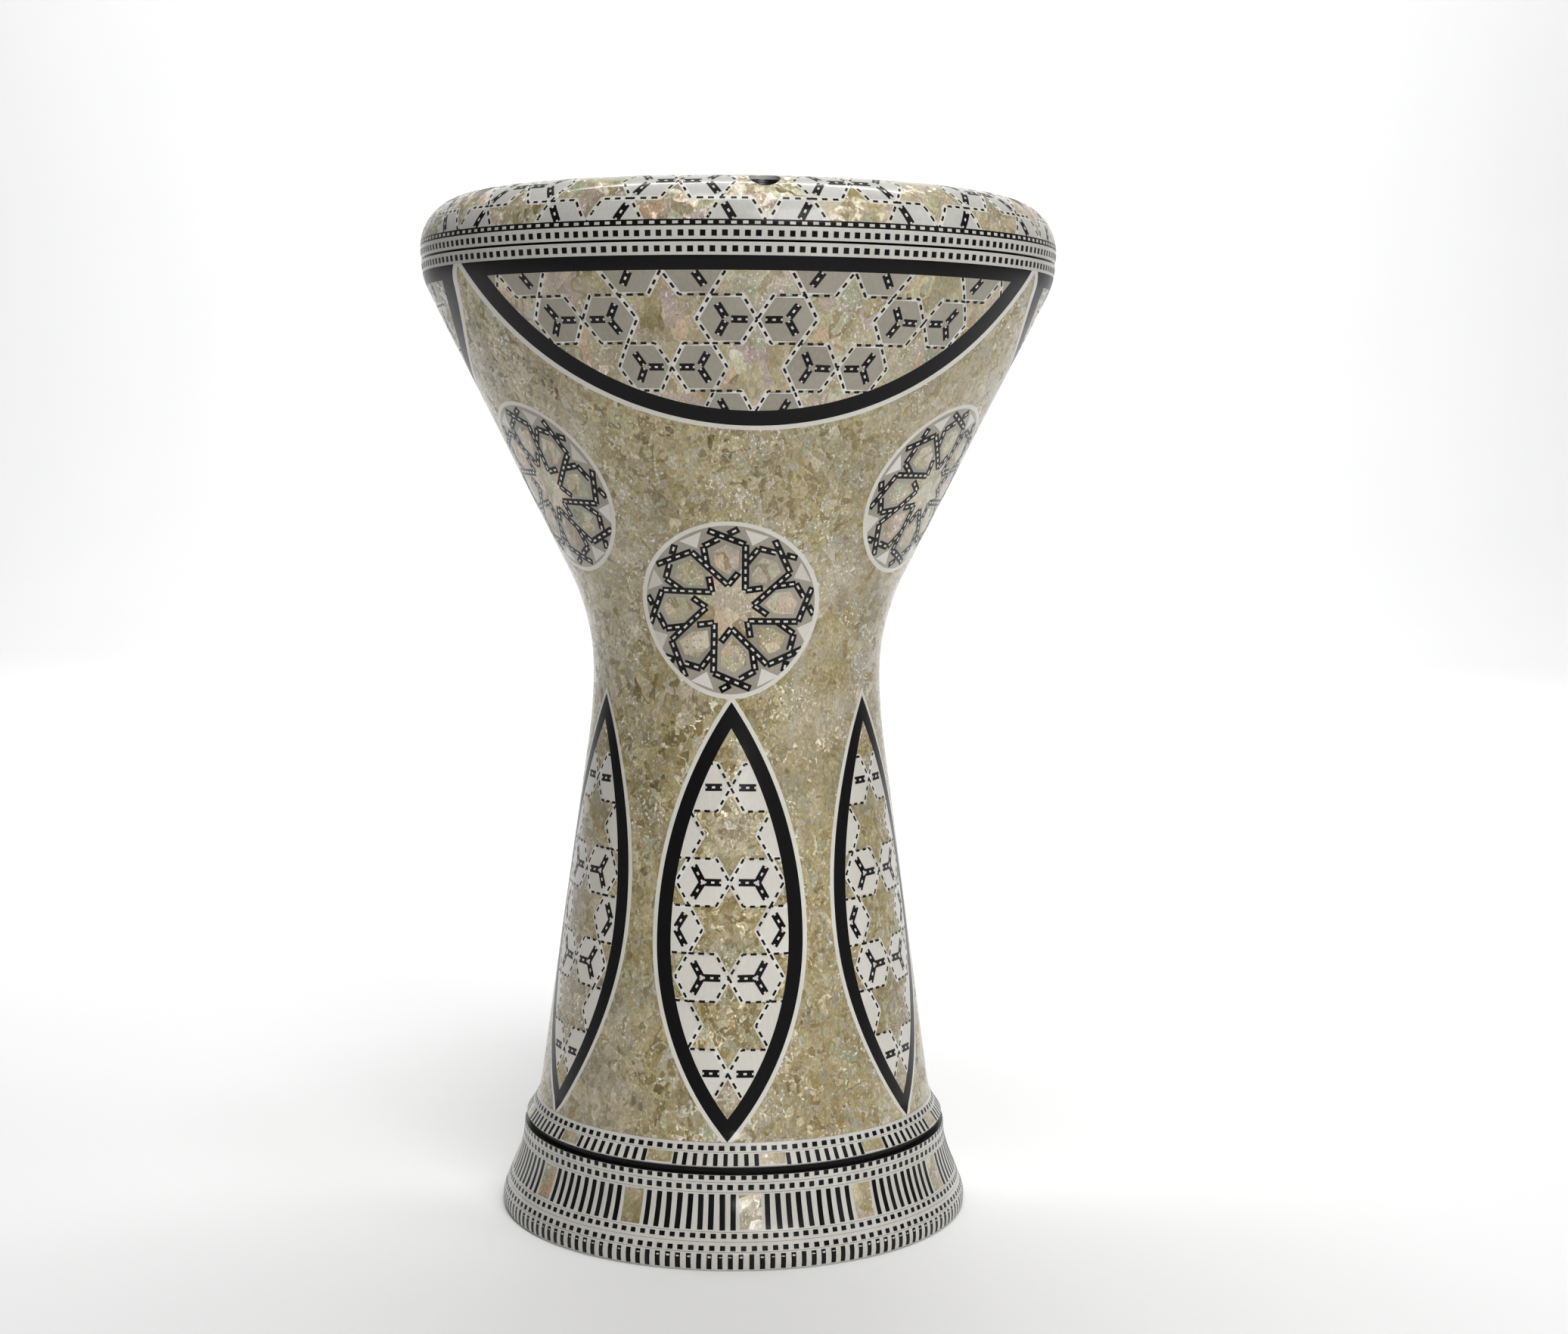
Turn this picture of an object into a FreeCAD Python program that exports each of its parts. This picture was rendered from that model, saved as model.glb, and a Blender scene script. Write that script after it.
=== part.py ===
import FreeCAD, Part
import math
import os
import Sketcher

# Goblet drum (darbuka) with a cast aluminium shell, a bolted tension ring and a thin
# mother-of-pearl inlay.  Millimetres, +Z up, origin at the centre of the foot.
# Azimuth 0 is the front (-Y) and grows towards +X.

DRIVING_SIZES = {
    # overall
    "total_height": 450.0,
    "rim_radius": 140.0,
    "crown_radius": 22.0,
    "skin": 1.6,
    "wall": 4.4,
    # foot, from the floor up
    "foot_inner_radius": 98.0,
    "foot_lip_radius": 104.5,
    "foot_lip_height": 0.8,
    "edge_band_top": 8.0,
    "edge_band_low_radius": 104.9,
    "edge_band_top_radius": 104.4,
    "edge_band_bulge": 12.0,
    "low_check_top": 15.8,
    "low_check_radius": 101.3,
    "bar_band_top": 31.0,
    "bar_band_radius": 96.0,
    "bar_band_hollow": 72.0,
    "groove_low": 38.2,
    "foot_top_radius": 95.4,
    "groove_top": 41.8,
    "groove_radius": 92.8,
    "bead_low_radius": 94.6,
    "bead_bar_top": 46.9,
    "bead_bar_radius": 91.1,
    "bead_top": 50.7,
    "bead_top_radius": 89.4,
    # shaft, neck and bowl
    "shaft_low": 55.0,
    "shaft_low_radius": 88.2,
    "shaft_top": 210.0,
    "shaft_top_radius": 66.9,
    "shaft_bend": 243.0,
    "neck_height": 243.0,
    "neck_radius": 64.4,
    "neck_bend": 98.0,
    "cone_low": 287.0,
    "cone_low_radius": 74.8,
    "cone_top": 410.0,
    "cone_top_radius": 136.5,
    "shoulder_bend": 28.0,
    "shell_band_low": 417.4,
    "shell_band_low_radius": 139.05,
    "shell_top": 422.45,
    "shell_top_radius": 139.7,
    # flange, bearing edge, hoop and head
    "flange_thick": 8.0,
    "flange_toe_radius": 127.5,
    "cone_inner_top": 408.6,
    "cone_inner_top_radius": 129.8,
    "bearing_radius": 110.9,
    "bearing_wall": 4.5,
    "bearing_top": 447.6,
    "bearing_round": 2.0,
    "film_gap": 0.1,
    "film_thick": 0.25,
    "collar_low": 437.0,
    "hoop_gap": 0.05,
    "hoop_width": 6.2,
    "hoop_low": 435.2,
    "hoop_height": 6.0,
    # tension ring and its inlay
    "seam_gap": 1.0,
    "ring_lip_radius": 112.4,
    "ring_step_radius": 118.0,
    "ring_step_height": 441.3,
    "ring_check_top": 428.6,
    "ring_dot_top": 431.1,
    # tension bolts
    "bolt_circle_radius": 126.0,
    "bolt_count": 6.0,
    "bolt_turn": 5.6,
    "bolt_radius": 3.0,
    "bolt_length": 30.0,
    "bolt_head_radius": 5.0,
    "bolt_head_height": 6.0,
    "bolt_head_round": 0.6,
    "socket_width": 5.0,
    "socket_depth": 3.0,
    "counterbore_radius": 6.25,
    "counterbore_low": 435.6,
    "clearance_radius": 3.3,
    "washer_radius": 5.9,
    "washer_hole_radius": 3.2,
    "washer_thick": 1.0,
    "insert_radius": 4.5,
    "insert_bore_radius": 3.05,
    "insert_length": 18.0,
    "boss_radius": 8.0,
    "boss_low": 402.0,
    "boss_cover": 1.0,
    "boss_root": 4.0,
    "head_gap": 0.05,
    # lens panels on the shaft
    "lens_count": 6.0,
    "lens_turn": -0.8,
    "lens_half_width": 31.1,
    "lens_middle": 133.2,
    "lens_upper_bend": 182.0,
    "lens_lower_bend": 125.0,
    # half-moon panels on the bowl
    "moon_count": 3.0,
    "moon_turn": 4.5,
    "moon_low": 351.7,
    "moon_bend": 139.9,
    "moon_reach": 430.0,
    "moon_bar_low": 411.75,
    # strips round the panels
    "frame_width": 6.0,
    "piping_width": 1.8,
    # round medallions
    "medallion_count": 3.0,
    "low_medallion_turn": -1.4,
    "low_medallion_centre_radius": 75.8,
    "low_medallion_centre_height": 274.4,
    "low_medallion_tilt": 16.3,
    "low_medallion_half_height": 39.8,
    "low_medallion_half_width": 37.5,
    "high_medallion_turn": 61.8,
    "high_medallion_centre_radius": 93.7,
    "high_medallion_centre_height": 325.5,
    "high_medallion_tilt": 26.65,
    "high_medallion_half_height": 40.6,
    "high_medallion_half_width": 38.9,
    "medallion_border": 1.9,
    # pearl tiles in the foot bands
    "tile_count": 12.0,
    "foot_tile_width": 9.2,
    "foot_tile_turn": 5.2,
    "foot_tile_low": 16.6,
    "foot_tile_high": 30.2,
    "bead_tile_width": 11.4,
    "bead_tile_turn": 11.2,
    "bead_tile_low": 42.6,
    "bead_tile_high": 46.2,
    # cutting tools: reach from the axis, depth across a medallion, run past a face
    "cutter_reach": 170.0,
    "cutter_depth": 30.0,
    "cutter_overrun": 1.0,
}

doc = FreeCAD.newDocument("darbuka")
sheet = doc.addObject("Spreadsheet::Sheet", "dims")
for row, (name, value) in enumerate(DRIVING_SIZES.items(), start=1):
    sheet.set(f"A{row}", name.replace("_", " "))
    sheet.set(f"B{row}", str(value))
    sheet.setAlias(f"B{row}", name)
doc.recompute()


class Size:
    """A length that knows both its value and the sheet expression it comes from."""

    def __init__(self, value, text):
        self.value = value
        self.text = text

    def __add__(self, other):
        other = as_size(other)
        return Size(self.value + other.value, f"({self.text} + {other.text})")

    def __sub__(self, other):
        other = as_size(other)
        return Size(self.value - other.value, f"({self.text} - {other.text})")

    def __mul__(self, other):
        other = as_size(other)
        return Size(self.value * other.value, f"({self.text} * {other.text})")

    def __truediv__(self, other):
        other = as_size(other)
        return Size(self.value / other.value, f"({self.text} / {other.text})")

    def __neg__(self):
        return Size(-self.value, f"(0 - {self.text})")

    def root(self):
        return Size(math.sqrt(self.value), f"sqrt({self.text})")


def as_size(number):
    if isinstance(number, Size):
        return number
    return Size(float(number), str(float(number)))


def dim(name):
    return Size(DRIVING_SIZES[name], f"dims.{name}")


def leg(hypotenuse, side):
    """The other leg of a right triangle."""
    return (hypotenuse * hypotenuse - side * side).root()


def bind(target, prop, size):
    target.setExpression(prop, as_size(size).text)


# ---------------------------------------------------------------- sketches and bodies

def origin_part(body, role):
    for feature in body.Origin.OriginFeatures:
        if feature.Role == role:
            return feature
    raise ValueError(role)


def new_body(name, label):
    body = doc.addObject("PartDesign::Body", name)
    body.Label = label
    return body


def new_sketch(body, name, role="XZ_Plane"):
    sketch = body.newObject("Sketcher::SketchObject", name)
    sketch.AttachmentSupport = [(origin_part(body, role), "")]
    sketch.MapMode = "FlatFace"
    return sketch


def arc_between(start, end, bend):
    """Arc from start to end; a positive bend turns left, a negative one turns right."""
    chord = end - start
    middle = (start + end) * 0.5
    radius = abs(bend)
    rise = math.sqrt(max(radius * radius - chord.Length * chord.Length / 4.0, 0.0))
    left = FreeCAD.Vector(-chord.y, chord.x, 0.0).normalize()
    centre = middle + left * math.copysign(rise, bend)
    circle = Part.Circle(centre, FreeCAD.Vector(0, 0, 1), radius)
    angle_start = math.atan2(start.y - centre.y, start.x - centre.x)
    angle_end = math.atan2(end.y - centre.y, end.x - centre.x)
    if bend > 0:
        return Part.ArcOfCircle(circle, angle_start, angle_end)
    return Part.ArcOfCircle(circle, angle_end, angle_start)


def fix_point(sketch, edge, vertex, across, up):
    """Bind one vertex of the sketch to the sheet, measured from the sketch's origin."""
    for kind, axis, size in (("DistanceX", -2, across), ("DistanceY", -1, up)):
        size = as_size(size)
        if abs(size.value) < 1e-9:
            sketch.addConstraint(Sketcher.Constraint("PointOnObject", edge, vertex, axis))
            continue
        if size.value > 0:
            rule = Sketcher.Constraint(kind, -1, 1, edge, vertex, size.value)
        else:
            size = -size
            rule = Sketcher.Constraint(kind, edge, vertex, -1, 1, size.value)
        index = sketch.addConstraint(rule)
        sketch.setExpression(f"Constraints[{index}]", size.text)


def draw_outline(sketch, outline):
    """Closed outline.  Each corner is (across, up) or (across, up, bend), where bend is
    the radius of the arc that arrives at that corner."""
    corners = [(as_size(c[0]), as_size(c[1])) for c in outline]
    points = [FreeCAD.Vector(x.value, y.value, 0.0) for x, y in corners]
    count = len(outline)
    first_vertices = []
    last_vertices = []
    for index in range(count):
        follower = (index + 1) % count
        start, end = points[index], points[follower]
        if len(outline[follower]) == 3:
            bend = as_size(outline[follower][2])
            edge = sketch.addGeometry(arc_between(start, end, bend.value), False)
            forward = bend.value > 0
            radius = bend if forward else -bend
            rule = sketch.addConstraint(Sketcher.Constraint("Radius", edge, radius.value))
            sketch.setExpression(f"Constraints[{rule}]", radius.text)
        else:
            edge = sketch.addGeometry(Part.LineSegment(start, end), False)
            forward = True
        first_vertices.append((edge, 1 if forward else 2))
        last_vertices.append((edge, 2 if forward else 1))
    for index in range(count):
        edge, vertex = first_vertices[index]
        previous = last_vertices[index - 1]
        sketch.addConstraint(Sketcher.Constraint("Coincident", *previous, edge, vertex))
        fix_point(sketch, edge, vertex, *corners[index])


def revolved_body(name, label, outline):
    """Body of revolution about Z; the outline is given as (radius, height) corners."""
    body = new_body(name, label)
    sketch = new_sketch(body, name + "_profile")
    draw_outline(sketch, outline)
    turn = body.newObject("PartDesign::Revolution", name + "_turn")
    turn.Profile = sketch
    turn.ReferenceAxis = (sketch, ["V_Axis"])
    turn.Angle = 360.0
    sketch.Visibility = False
    return body


def radial_cutters(name, outline, count, turn):
    """Star of prisms that run outwards from the drum's axis through the inlay."""
    body = new_body(name, name)
    sketch = new_sketch(body, name + "_outline")
    draw_outline(sketch, outline)
    pad = body.newObject("PartDesign::Pad", name + "_pad")
    pad.Profile = sketch
    bind(pad, "Length", dim("cutter_reach"))
    doc.recompute()
    star = body.newObject("PartDesign::PolarPattern", name + "_star")
    star.Originals = [pad]
    star.Axis = (origin_part(body, "Z_Axis"), [""])
    star.Angle = 360.0
    bind(star, "Occurrences", count)
    body.Tip = star
    body.Placement.Rotation = FreeCAD.Rotation(FreeCAD.Vector(0, 0, 1), 0.0)
    bind(body, "Placement.Rotation.Angle", turn)
    return body


# ---------------------------------------------------------------- Part booleans

def fused(name, members):
    joined = doc.addObject("Part::MultiFuse", name)
    joined.Shapes = members
    return joined


def cut(name, label, base, tool):
    result = doc.addObject("Part::Cut", name)
    result.Label = label
    result.Base = base
    result.Tool = tool
    return result


def common(name, label, base, tool):
    result = doc.addObject("Part::Common", name)
    result.Label = label
    result.Base = base
    result.Tool = tool
    return result


def on_bolt_circle(target, index):
    """Move an object to the axis of one tension bolt and turn it with the circle."""
    angle = f"(dims.bolt_turn + {index} * 360 / dims.bolt_count) * 1 deg"
    target.Placement.Rotation = FreeCAD.Rotation(FreeCAD.Vector(0, 0, 1), 1.0)
    target.setExpression("Placement.Base.x", f"dims.bolt_circle_radius * sin({angle})")
    target.setExpression("Placement.Base.y", f"-dims.bolt_circle_radius * cos({angle})")
    target.setExpression("Placement.Rotation.Angle", angle)


def bolt_circle_cylinders(name, radius, low, high):
    """One upright cylinder on each bolt axis, fused into one cutter."""
    members = []
    for index in range(BOLT_COUNT):
        cylinder = doc.addObject("Part::Cylinder", f"{name}_{index + 1}")
        bind(cylinder, "Radius", radius)
        bind(cylinder, "Height", high - low)
        on_bolt_circle(cylinder, index)
        bind(cylinder, "Placement.Base.z", low)
        members.append(cylinder)
    return fused(name, members)


BOLT_COUNT = int(DRIVING_SIZES["bolt_count"])


# ---------------------------------------------------------------- outer profile

skin = dim("skin")
wall_shift = skin + dim("wall")
overrun = dim("cutter_overrun")
crown_centre = dim("rim_radius") - dim("crown_radius")
crown_height = dim("total_height") - dim("crown_radius")


def field_side(shift):
    """Outer side of the drum from the bead up to the band under the seam."""
    return [
        (dim("bead_top_radius") - shift, dim("bead_top")),
        (dim("shaft_low_radius") - shift, dim("shaft_low")),
        (dim("shaft_top_radius") - shift, dim("shaft_top")),
        (dim("neck_radius") - shift, dim("neck_height"), -dim("shaft_bend")),
        (dim("cone_low_radius") - shift, dim("cone_low"), -dim("neck_bend")),
        (dim("cone_top_radius") - shift, dim("cone_top")),
        (dim("shell_band_low_radius") - shift, dim("shell_band_low"), dim("shoulder_bend")),
    ]


def reversed_side(side):
    """The same side walked downwards, with its arcs bending the other way."""
    result = []
    for index in range(len(side) - 1, -1, -1):
        bend = side[index + 1][2:] if index + 1 < len(side) else ()
        result.append(side[index][:2] + tuple(-b for b in bend))
    return result


def layer(name, label, outer, inner):
    """Thin revolved layer between an outer side and an inner side, both walked upwards."""
    return revolved_body(name, label, outer + reversed_side(inner))


def foot_band(name, label, low, high):
    """One inlay band of the foot; low and high are (radius, height[, bend]) corners."""
    outer = [low, high]
    inner = [(low[0] - skin, low[1]), (high[0] - skin,) + high[1:]]
    return layer(name, label, outer, inner)


# ---------------------------------------------------------------- shell

def make_shell():
    outer = [
        (dim("foot_inner_radius"), 0),
        (dim("foot_lip_radius"), 0),
        (dim("foot_lip_radius"), dim("foot_lip_height")),
        (dim("edge_band_low_radius") - skin, dim("foot_lip_height")),
        (dim("edge_band_top_radius") - skin, dim("edge_band_top"), dim("edge_band_bulge")),
        (dim("low_check_radius") - skin, dim("low_check_top")),
        (dim("bar_band_radius") - skin, dim("bar_band_top"), -dim("bar_band_hollow")),
        (dim("foot_top_radius") - skin, dim("groove_low")),
        (dim("groove_radius") - skin, dim("groove_low")),
        (dim("groove_radius") - skin, dim("groove_top")),
        (dim("bead_low_radius") - skin, dim("groove_top")),
        (dim("bead_bar_radius") - skin, dim("bead_bar_top")),
    ]
    outer += field_side(skin)
    outer += [(dim("shell_top_radius") - skin, dim("shell_top"))]
    bearing_inner = dim("bearing_radius") - dim("bearing_wall")
    round_low = dim("bearing_top") - dim("bearing_round")
    rim = [
        (dim("bearing_radius"), dim("shell_top")),
        (dim("bearing_radius"), round_low),
        (dim("bearing_radius") - dim("bearing_round"), dim("bearing_top"), dim("bearing_round")),
        (bearing_inner, dim("bearing_top")),
        (bearing_inner, dim("shell_top") - dim("flange_thick")),
        (dim("flange_toe_radius"), dim("shell_top") - dim("flange_thick")),
        (dim("cone_inner_top_radius"), dim("cone_inner_top")),
    ]
    inner = reversed_side(field_side(wall_shift)[:-2])
    foot_inside = [
        (dim("foot_top_radius") - wall_shift, dim("groove_low")),
        (dim("low_check_radius") - wall_shift, dim("low_check_top")),
    ]
    casting = revolved_body("casting", "casting", outer + rim + inner + foot_inside)
    boss_top = dim("shell_top") - dim("boss_root")
    columns = bolt_circle_cylinders("boss_columns", dim("boss_radius"), dim("boss_low"), boss_top)
    inside = skin + dim("boss_cover")
    envelope = revolved_body("boss_envelope", "boss_envelope", [
        (0, dim("cone_low")),
        (dim("cone_low_radius") - inside, dim("cone_low")),
        (dim("cone_top_radius") - inside, dim("cone_top")),
        (dim("shell_band_low_radius") - inside, dim("shell_band_low"), dim("shoulder_bend")),
        (dim("shell_top_radius") - inside, dim("shell_top")),
        (0, dim("shell_top")),
    ])
    bosses = common("bosses", "bosses", columns, envelope)
    solid = fused("casting_with_bosses", [casting, bosses])
    insert_low = dim("shell_top") - dim("insert_length")
    sockets = bolt_circle_cylinders("insert_sockets", dim("insert_radius"), insert_low,
                                    dim("shell_top") + overrun)
    tapped = cut("casting_with_sockets", "casting_with_sockets", solid, sockets)
    runout = bolt_circle_cylinders("bolt_runouts", dim("clearance_radius"),
                                   dim("boss_low") - overrun, insert_low + overrun)
    return cut("shell", "shell", tapped, runout)


def make_inserts():
    low = dim("shell_top") - dim("insert_length")
    outer = bolt_circle_cylinders("insert_bodies", dim("insert_radius"), low, dim("shell_top"))
    bores = bolt_circle_cylinders("insert_bores", dim("insert_bore_radius"), low - 1.0,
                                  dim("shell_top") + 1.0)
    return cut("thread_inserts", "thread_inserts", outer, bores)


# ---------------------------------------------------------------- foot inlay

def tile_cutters(name, width, low, high, turn):
    half = width * 0.5
    outline = [(-half, low), (half, low), (half, high), (-half, high)]
    return radial_cutters(name, outline, dim("tile_count"), turn)


def make_foot_inlay():
    pieces = [foot_band(
        "foot_edge_band", "foot_edge_band",
        (dim("edge_band_low_radius"), dim("foot_lip_height")),
        (dim("edge_band_top_radius"), dim("edge_band_top"), dim("edge_band_bulge")))]
    pieces.append(foot_band(
        "foot_lower_check_band", "foot_lower_check_band",
        (dim("edge_band_top_radius"), dim("edge_band_top")),
        (dim("low_check_radius"), dim("low_check_top"))))
    bars = foot_band(
        "bar_band_blank", "bar_band_blank",
        (dim("low_check_radius"), dim("low_check_top")),
        (dim("bar_band_radius"), dim("bar_band_top"), -dim("bar_band_hollow")))
    tiles = tile_cutters("foot_tile_cutters", dim("foot_tile_width"), dim("foot_tile_low"),
                         dim("foot_tile_high"), dim("foot_tile_turn"))
    pieces.append(cut("foot_bar_band", "foot_bar_band", bars, tiles))
    pieces.append(common("foot_pearl_tiles", "foot_pearl_tiles", bars, tiles))
    pieces.append(foot_band(
        "foot_upper_check_band", "foot_upper_check_band",
        (dim("bar_band_radius"), dim("bar_band_top")),
        (dim("foot_top_radius"), dim("groove_low"))))
    pieces.append(foot_band(
        "groove_band", "groove_band",
        (dim("groove_radius"), dim("groove_low")),
        (dim("groove_radius"), dim("groove_top"))))
    bead = foot_band(
        "bead_bar_blank", "bead_bar_blank",
        (dim("bead_low_radius"), dim("groove_top")),
        (dim("bead_bar_radius"), dim("bead_bar_top")))
    bead_tiles = tile_cutters("bead_tile_cutters", dim("bead_tile_width"), dim("bead_tile_low"),
                              dim("bead_tile_high"), dim("bead_tile_turn"))
    pieces.append(cut("bead_bar_band", "bead_bar_band", bead, bead_tiles))
    pieces.append(common("bead_pearl_tiles", "bead_pearl_tiles", bead, bead_tiles))
    pieces.append(foot_band(
        "bead_check_band", "bead_check_band",
        (dim("bead_bar_radius"), dim("bead_bar_top")),
        (dim("bead_top_radius"), dim("bead_top"))))
    return pieces


# ---------------------------------------------------------------- panels and field

def lens_cutters(name, inset):
    """Pointed oval, two arcs to a side, drawn inset mm inside the black frame's edge."""
    width = dim("lens_half_width")
    upper = dim("lens_upper_bend")
    lower = dim("lens_lower_bend")
    middle = dim("lens_middle")
    top = middle + leg(upper - inset, upper - width)
    low = middle - leg(lower - inset, lower - width)
    outline = [
        (0, low, lower - inset),
        (width - inset, middle, lower - inset),
        (0, top, upper - inset),
        (-(width - inset), middle, upper - inset),
    ]
    return radial_cutters(name, outline, dim("lens_count"), dim("lens_turn"))


def moon_cutters(name, inset, top):
    """Half-moon whose round side hangs down, inset mm inside the black frame's edge."""
    bend = dim("moon_bend") - inset
    centre = dim("moon_low") + dim("moon_bend")
    half = leg(bend, centre - top)
    outline = [(-half, top), (half, top, bend)]
    return radial_cutters(name, outline, dim("moon_count"), dim("moon_turn"))


def medallion_cutters(level, name, inset):
    """Elliptical prisms square to the bowl's surface, one per medallion."""
    members = []
    for index in range(int(DRIVING_SIZES["medallion_count"])):
        oval = doc.addObject("Part::Ellipse", f"{name}_oval_{index + 1}")
        bind(oval, "MajorRadius", dim(f"{level}_half_height") - inset)
        bind(oval, "MinorRadius", dim(f"{level}_half_width") - inset)
        turn = f"(dims.{level}_turn + {index} * 360 / dims.medallion_count) * 1 deg"
        tilt = DRIVING_SIZES[f"{level}_tilt"]
        angle = DRIVING_SIZES[f"{level}_turn"] + index * 360.0 / DRIVING_SIZES["medallion_count"]
        upright = FreeCAD.Rotation(FreeCAD.Vector(0, 0, 1), angle)
        lean = FreeCAD.Rotation(FreeCAD.Vector(1, 0, 0), 90.0 + tilt)
        quarter = FreeCAD.Rotation(FreeCAD.Vector(0, 0, 1), 90.0)
        oval.Placement.Rotation = upright * lean * quarter
        reach = f"dims.{level}_centre_radius"
        oval.setExpression("Placement.Base.x", f"{reach} * sin({turn})")
        oval.setExpression("Placement.Base.y", f"-{reach} * cos({turn})")
        bind(oval, "Placement.Base.z", dim(f"{level}_centre_height"))
        prism = doc.addObject("Part::Extrusion", f"{name}_prism_{index + 1}")
        prism.Base = oval
        prism.DirMode = "Normal"
        prism.Solid = True
        bind(prism, "LengthFwd", dim("cutter_depth"))
        bind(prism, "LengthRev", dim("cutter_depth"))
        members.append(prism)
    return fused(name, members)


def make_panels():
    """Frames, piping, mosaics and the pearl field around them."""
    blank = layer("field_blank", "field_blank", field_side(0), field_side(skin))
    frame = dim("frame_width")
    piping = -dim("piping_width")
    low_rim = medallion_cutters("low_medallion", "low_medallion_rims", 0)
    low_core = medallion_cutters("low_medallion", "low_medallion_cores", dim("medallion_border"))
    high_rim = medallion_cutters("high_medallion", "high_medallion_rims", 0)
    high_core = medallion_cutters("high_medallion", "high_medallion_cores",
                                  dim("medallion_border"))
    lens_out = lens_cutters("lens_piping_cutters", piping)
    lens_mid = lens_cutters("lens_frame_cutters", 0)
    lens_in = lens_cutters("lens_mosaic_cutters", frame)
    moon_out = moon_cutters("moon_piping_cutters", piping, dim("moon_reach"))
    moon_mid = moon_cutters("moon_frame_cutters", 0, dim("moon_reach"))
    moon_in = moon_cutters("moon_mosaic_cutters", frame, dim("moon_bar_low"))
    pieces = []
    for level, rim, core in (("lower", low_rim, low_core), ("upper", high_rim, high_core)):
        pieces.append(common(f"{level}_medallions", f"{level}_medallions", blank, core))
        disc = common(f"{level}_discs", f"{level}_discs", blank, rim)
        pieces.append(cut(f"{level}_medallion_borders", f"{level}_medallion_borders", disc, core))
    for panel, out, mid, inner in (("lens", lens_out, lens_mid, lens_in),
                                   ("half_moon", moon_out, moon_mid, moon_in)):
        pieces.append(common(f"{panel}_mosaics", f"{panel}_mosaics", blank, inner))
        solid = common(f"{panel}_solid", f"{panel}_solid", blank, mid)
        pieces.append(cut(f"{panel}_frames", f"{panel}_frames", solid, inner))
        wide = common(f"{panel}_wide", f"{panel}_wide", blank, out)
        trimmed = cut(f"{panel}_trimmed", f"{panel}_trimmed", wide, mid)
        pieces.append(cut(f"{panel}_piping", f"{panel}_piping", trimmed, low_rim))
    openings = fused("field_openings", [lens_out, moon_out, low_rim, high_rim])
    pieces.append(cut("pearl_field", "pearl_field", blank, openings))
    return pieces


# ---------------------------------------------------------------- bands at the seam

def on_crown(radius, height):
    """Point of the crown's round section at the given height."""
    return (crown_centre + leg(radius, height - crown_height), height)


def crown_band(name, label, low, high):
    outer_bend = dim("crown_radius")
    inner_bend = outer_bend - skin
    outer = [on_crown(outer_bend, low), on_crown(outer_bend, high) + (outer_bend,)]
    inner = [on_crown(inner_bend, low), on_crown(inner_bend, high) + (inner_bend,)]
    return layer(name, label, outer, inner)


def make_seam_bands():
    top = (dim("shell_top_radius"), dim("shell_top"))
    low = (dim("shell_band_low_radius"), dim("shell_band_low"))
    ring_low = dim("shell_top") + dim("seam_gap")
    pieces = [foot_band("shell_check_band", "shell_check_band", low, top)]
    pieces.append(crown_band("ring_check_band", "ring_check_band", ring_low,
                             dim("ring_check_top")))
    pieces.append(crown_band("ring_dotted_band", "ring_dotted_band", dim("ring_check_top"),
                             dim("ring_dot_top")))
    return pieces


# ---------------------------------------------------------------- tension ring

def lip_point(radius):
    """Point of the crown's round section straight above the ring's inner lip."""
    across = dim("ring_lip_radius")
    return (across, crown_height + leg(radius, crown_centre - across))


def make_ring():
    bend = dim("crown_radius") - skin
    ring_low = dim("shell_top") + dim("seam_gap")
    outline = [
        (dim("ring_step_radius"), ring_low),
        on_crown(bend, ring_low),
        lip_point(bend) + (bend,),
        (dim("ring_lip_radius"), dim("ring_step_height")),
        (dim("ring_step_radius"), dim("ring_step_height")),
    ]
    blank = revolved_body("ring_blank", "ring_blank", outline)
    counterbores = bolt_circle_cylinders("counterbores", dim("counterbore_radius"),
                                         dim("counterbore_low"), dim("total_height") + overrun)
    clearances = bolt_circle_cylinders("clearances", dim("clearance_radius"),
                                       ring_low - overrun, dim("counterbore_low") + overrun)
    bores = fused("ring_bores", [counterbores, clearances])
    ring = cut("tension_ring", "tension_ring", blank, bores)
    wide = dim("crown_radius")
    outer = [on_crown(wide, dim("ring_dot_top")), lip_point(wide) + (wide,)]
    inner = [on_crown(bend, dim("ring_dot_top")), lip_point(bend) + (bend,)]
    mosaic_blank = layer("ring_mosaic_blank", "ring_mosaic_blank", outer, inner)
    mosaic = cut("ring_mosaic", "ring_mosaic", mosaic_blank, counterbores)
    return [ring, mosaic]


# ---------------------------------------------------------------- head and hoop

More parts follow.
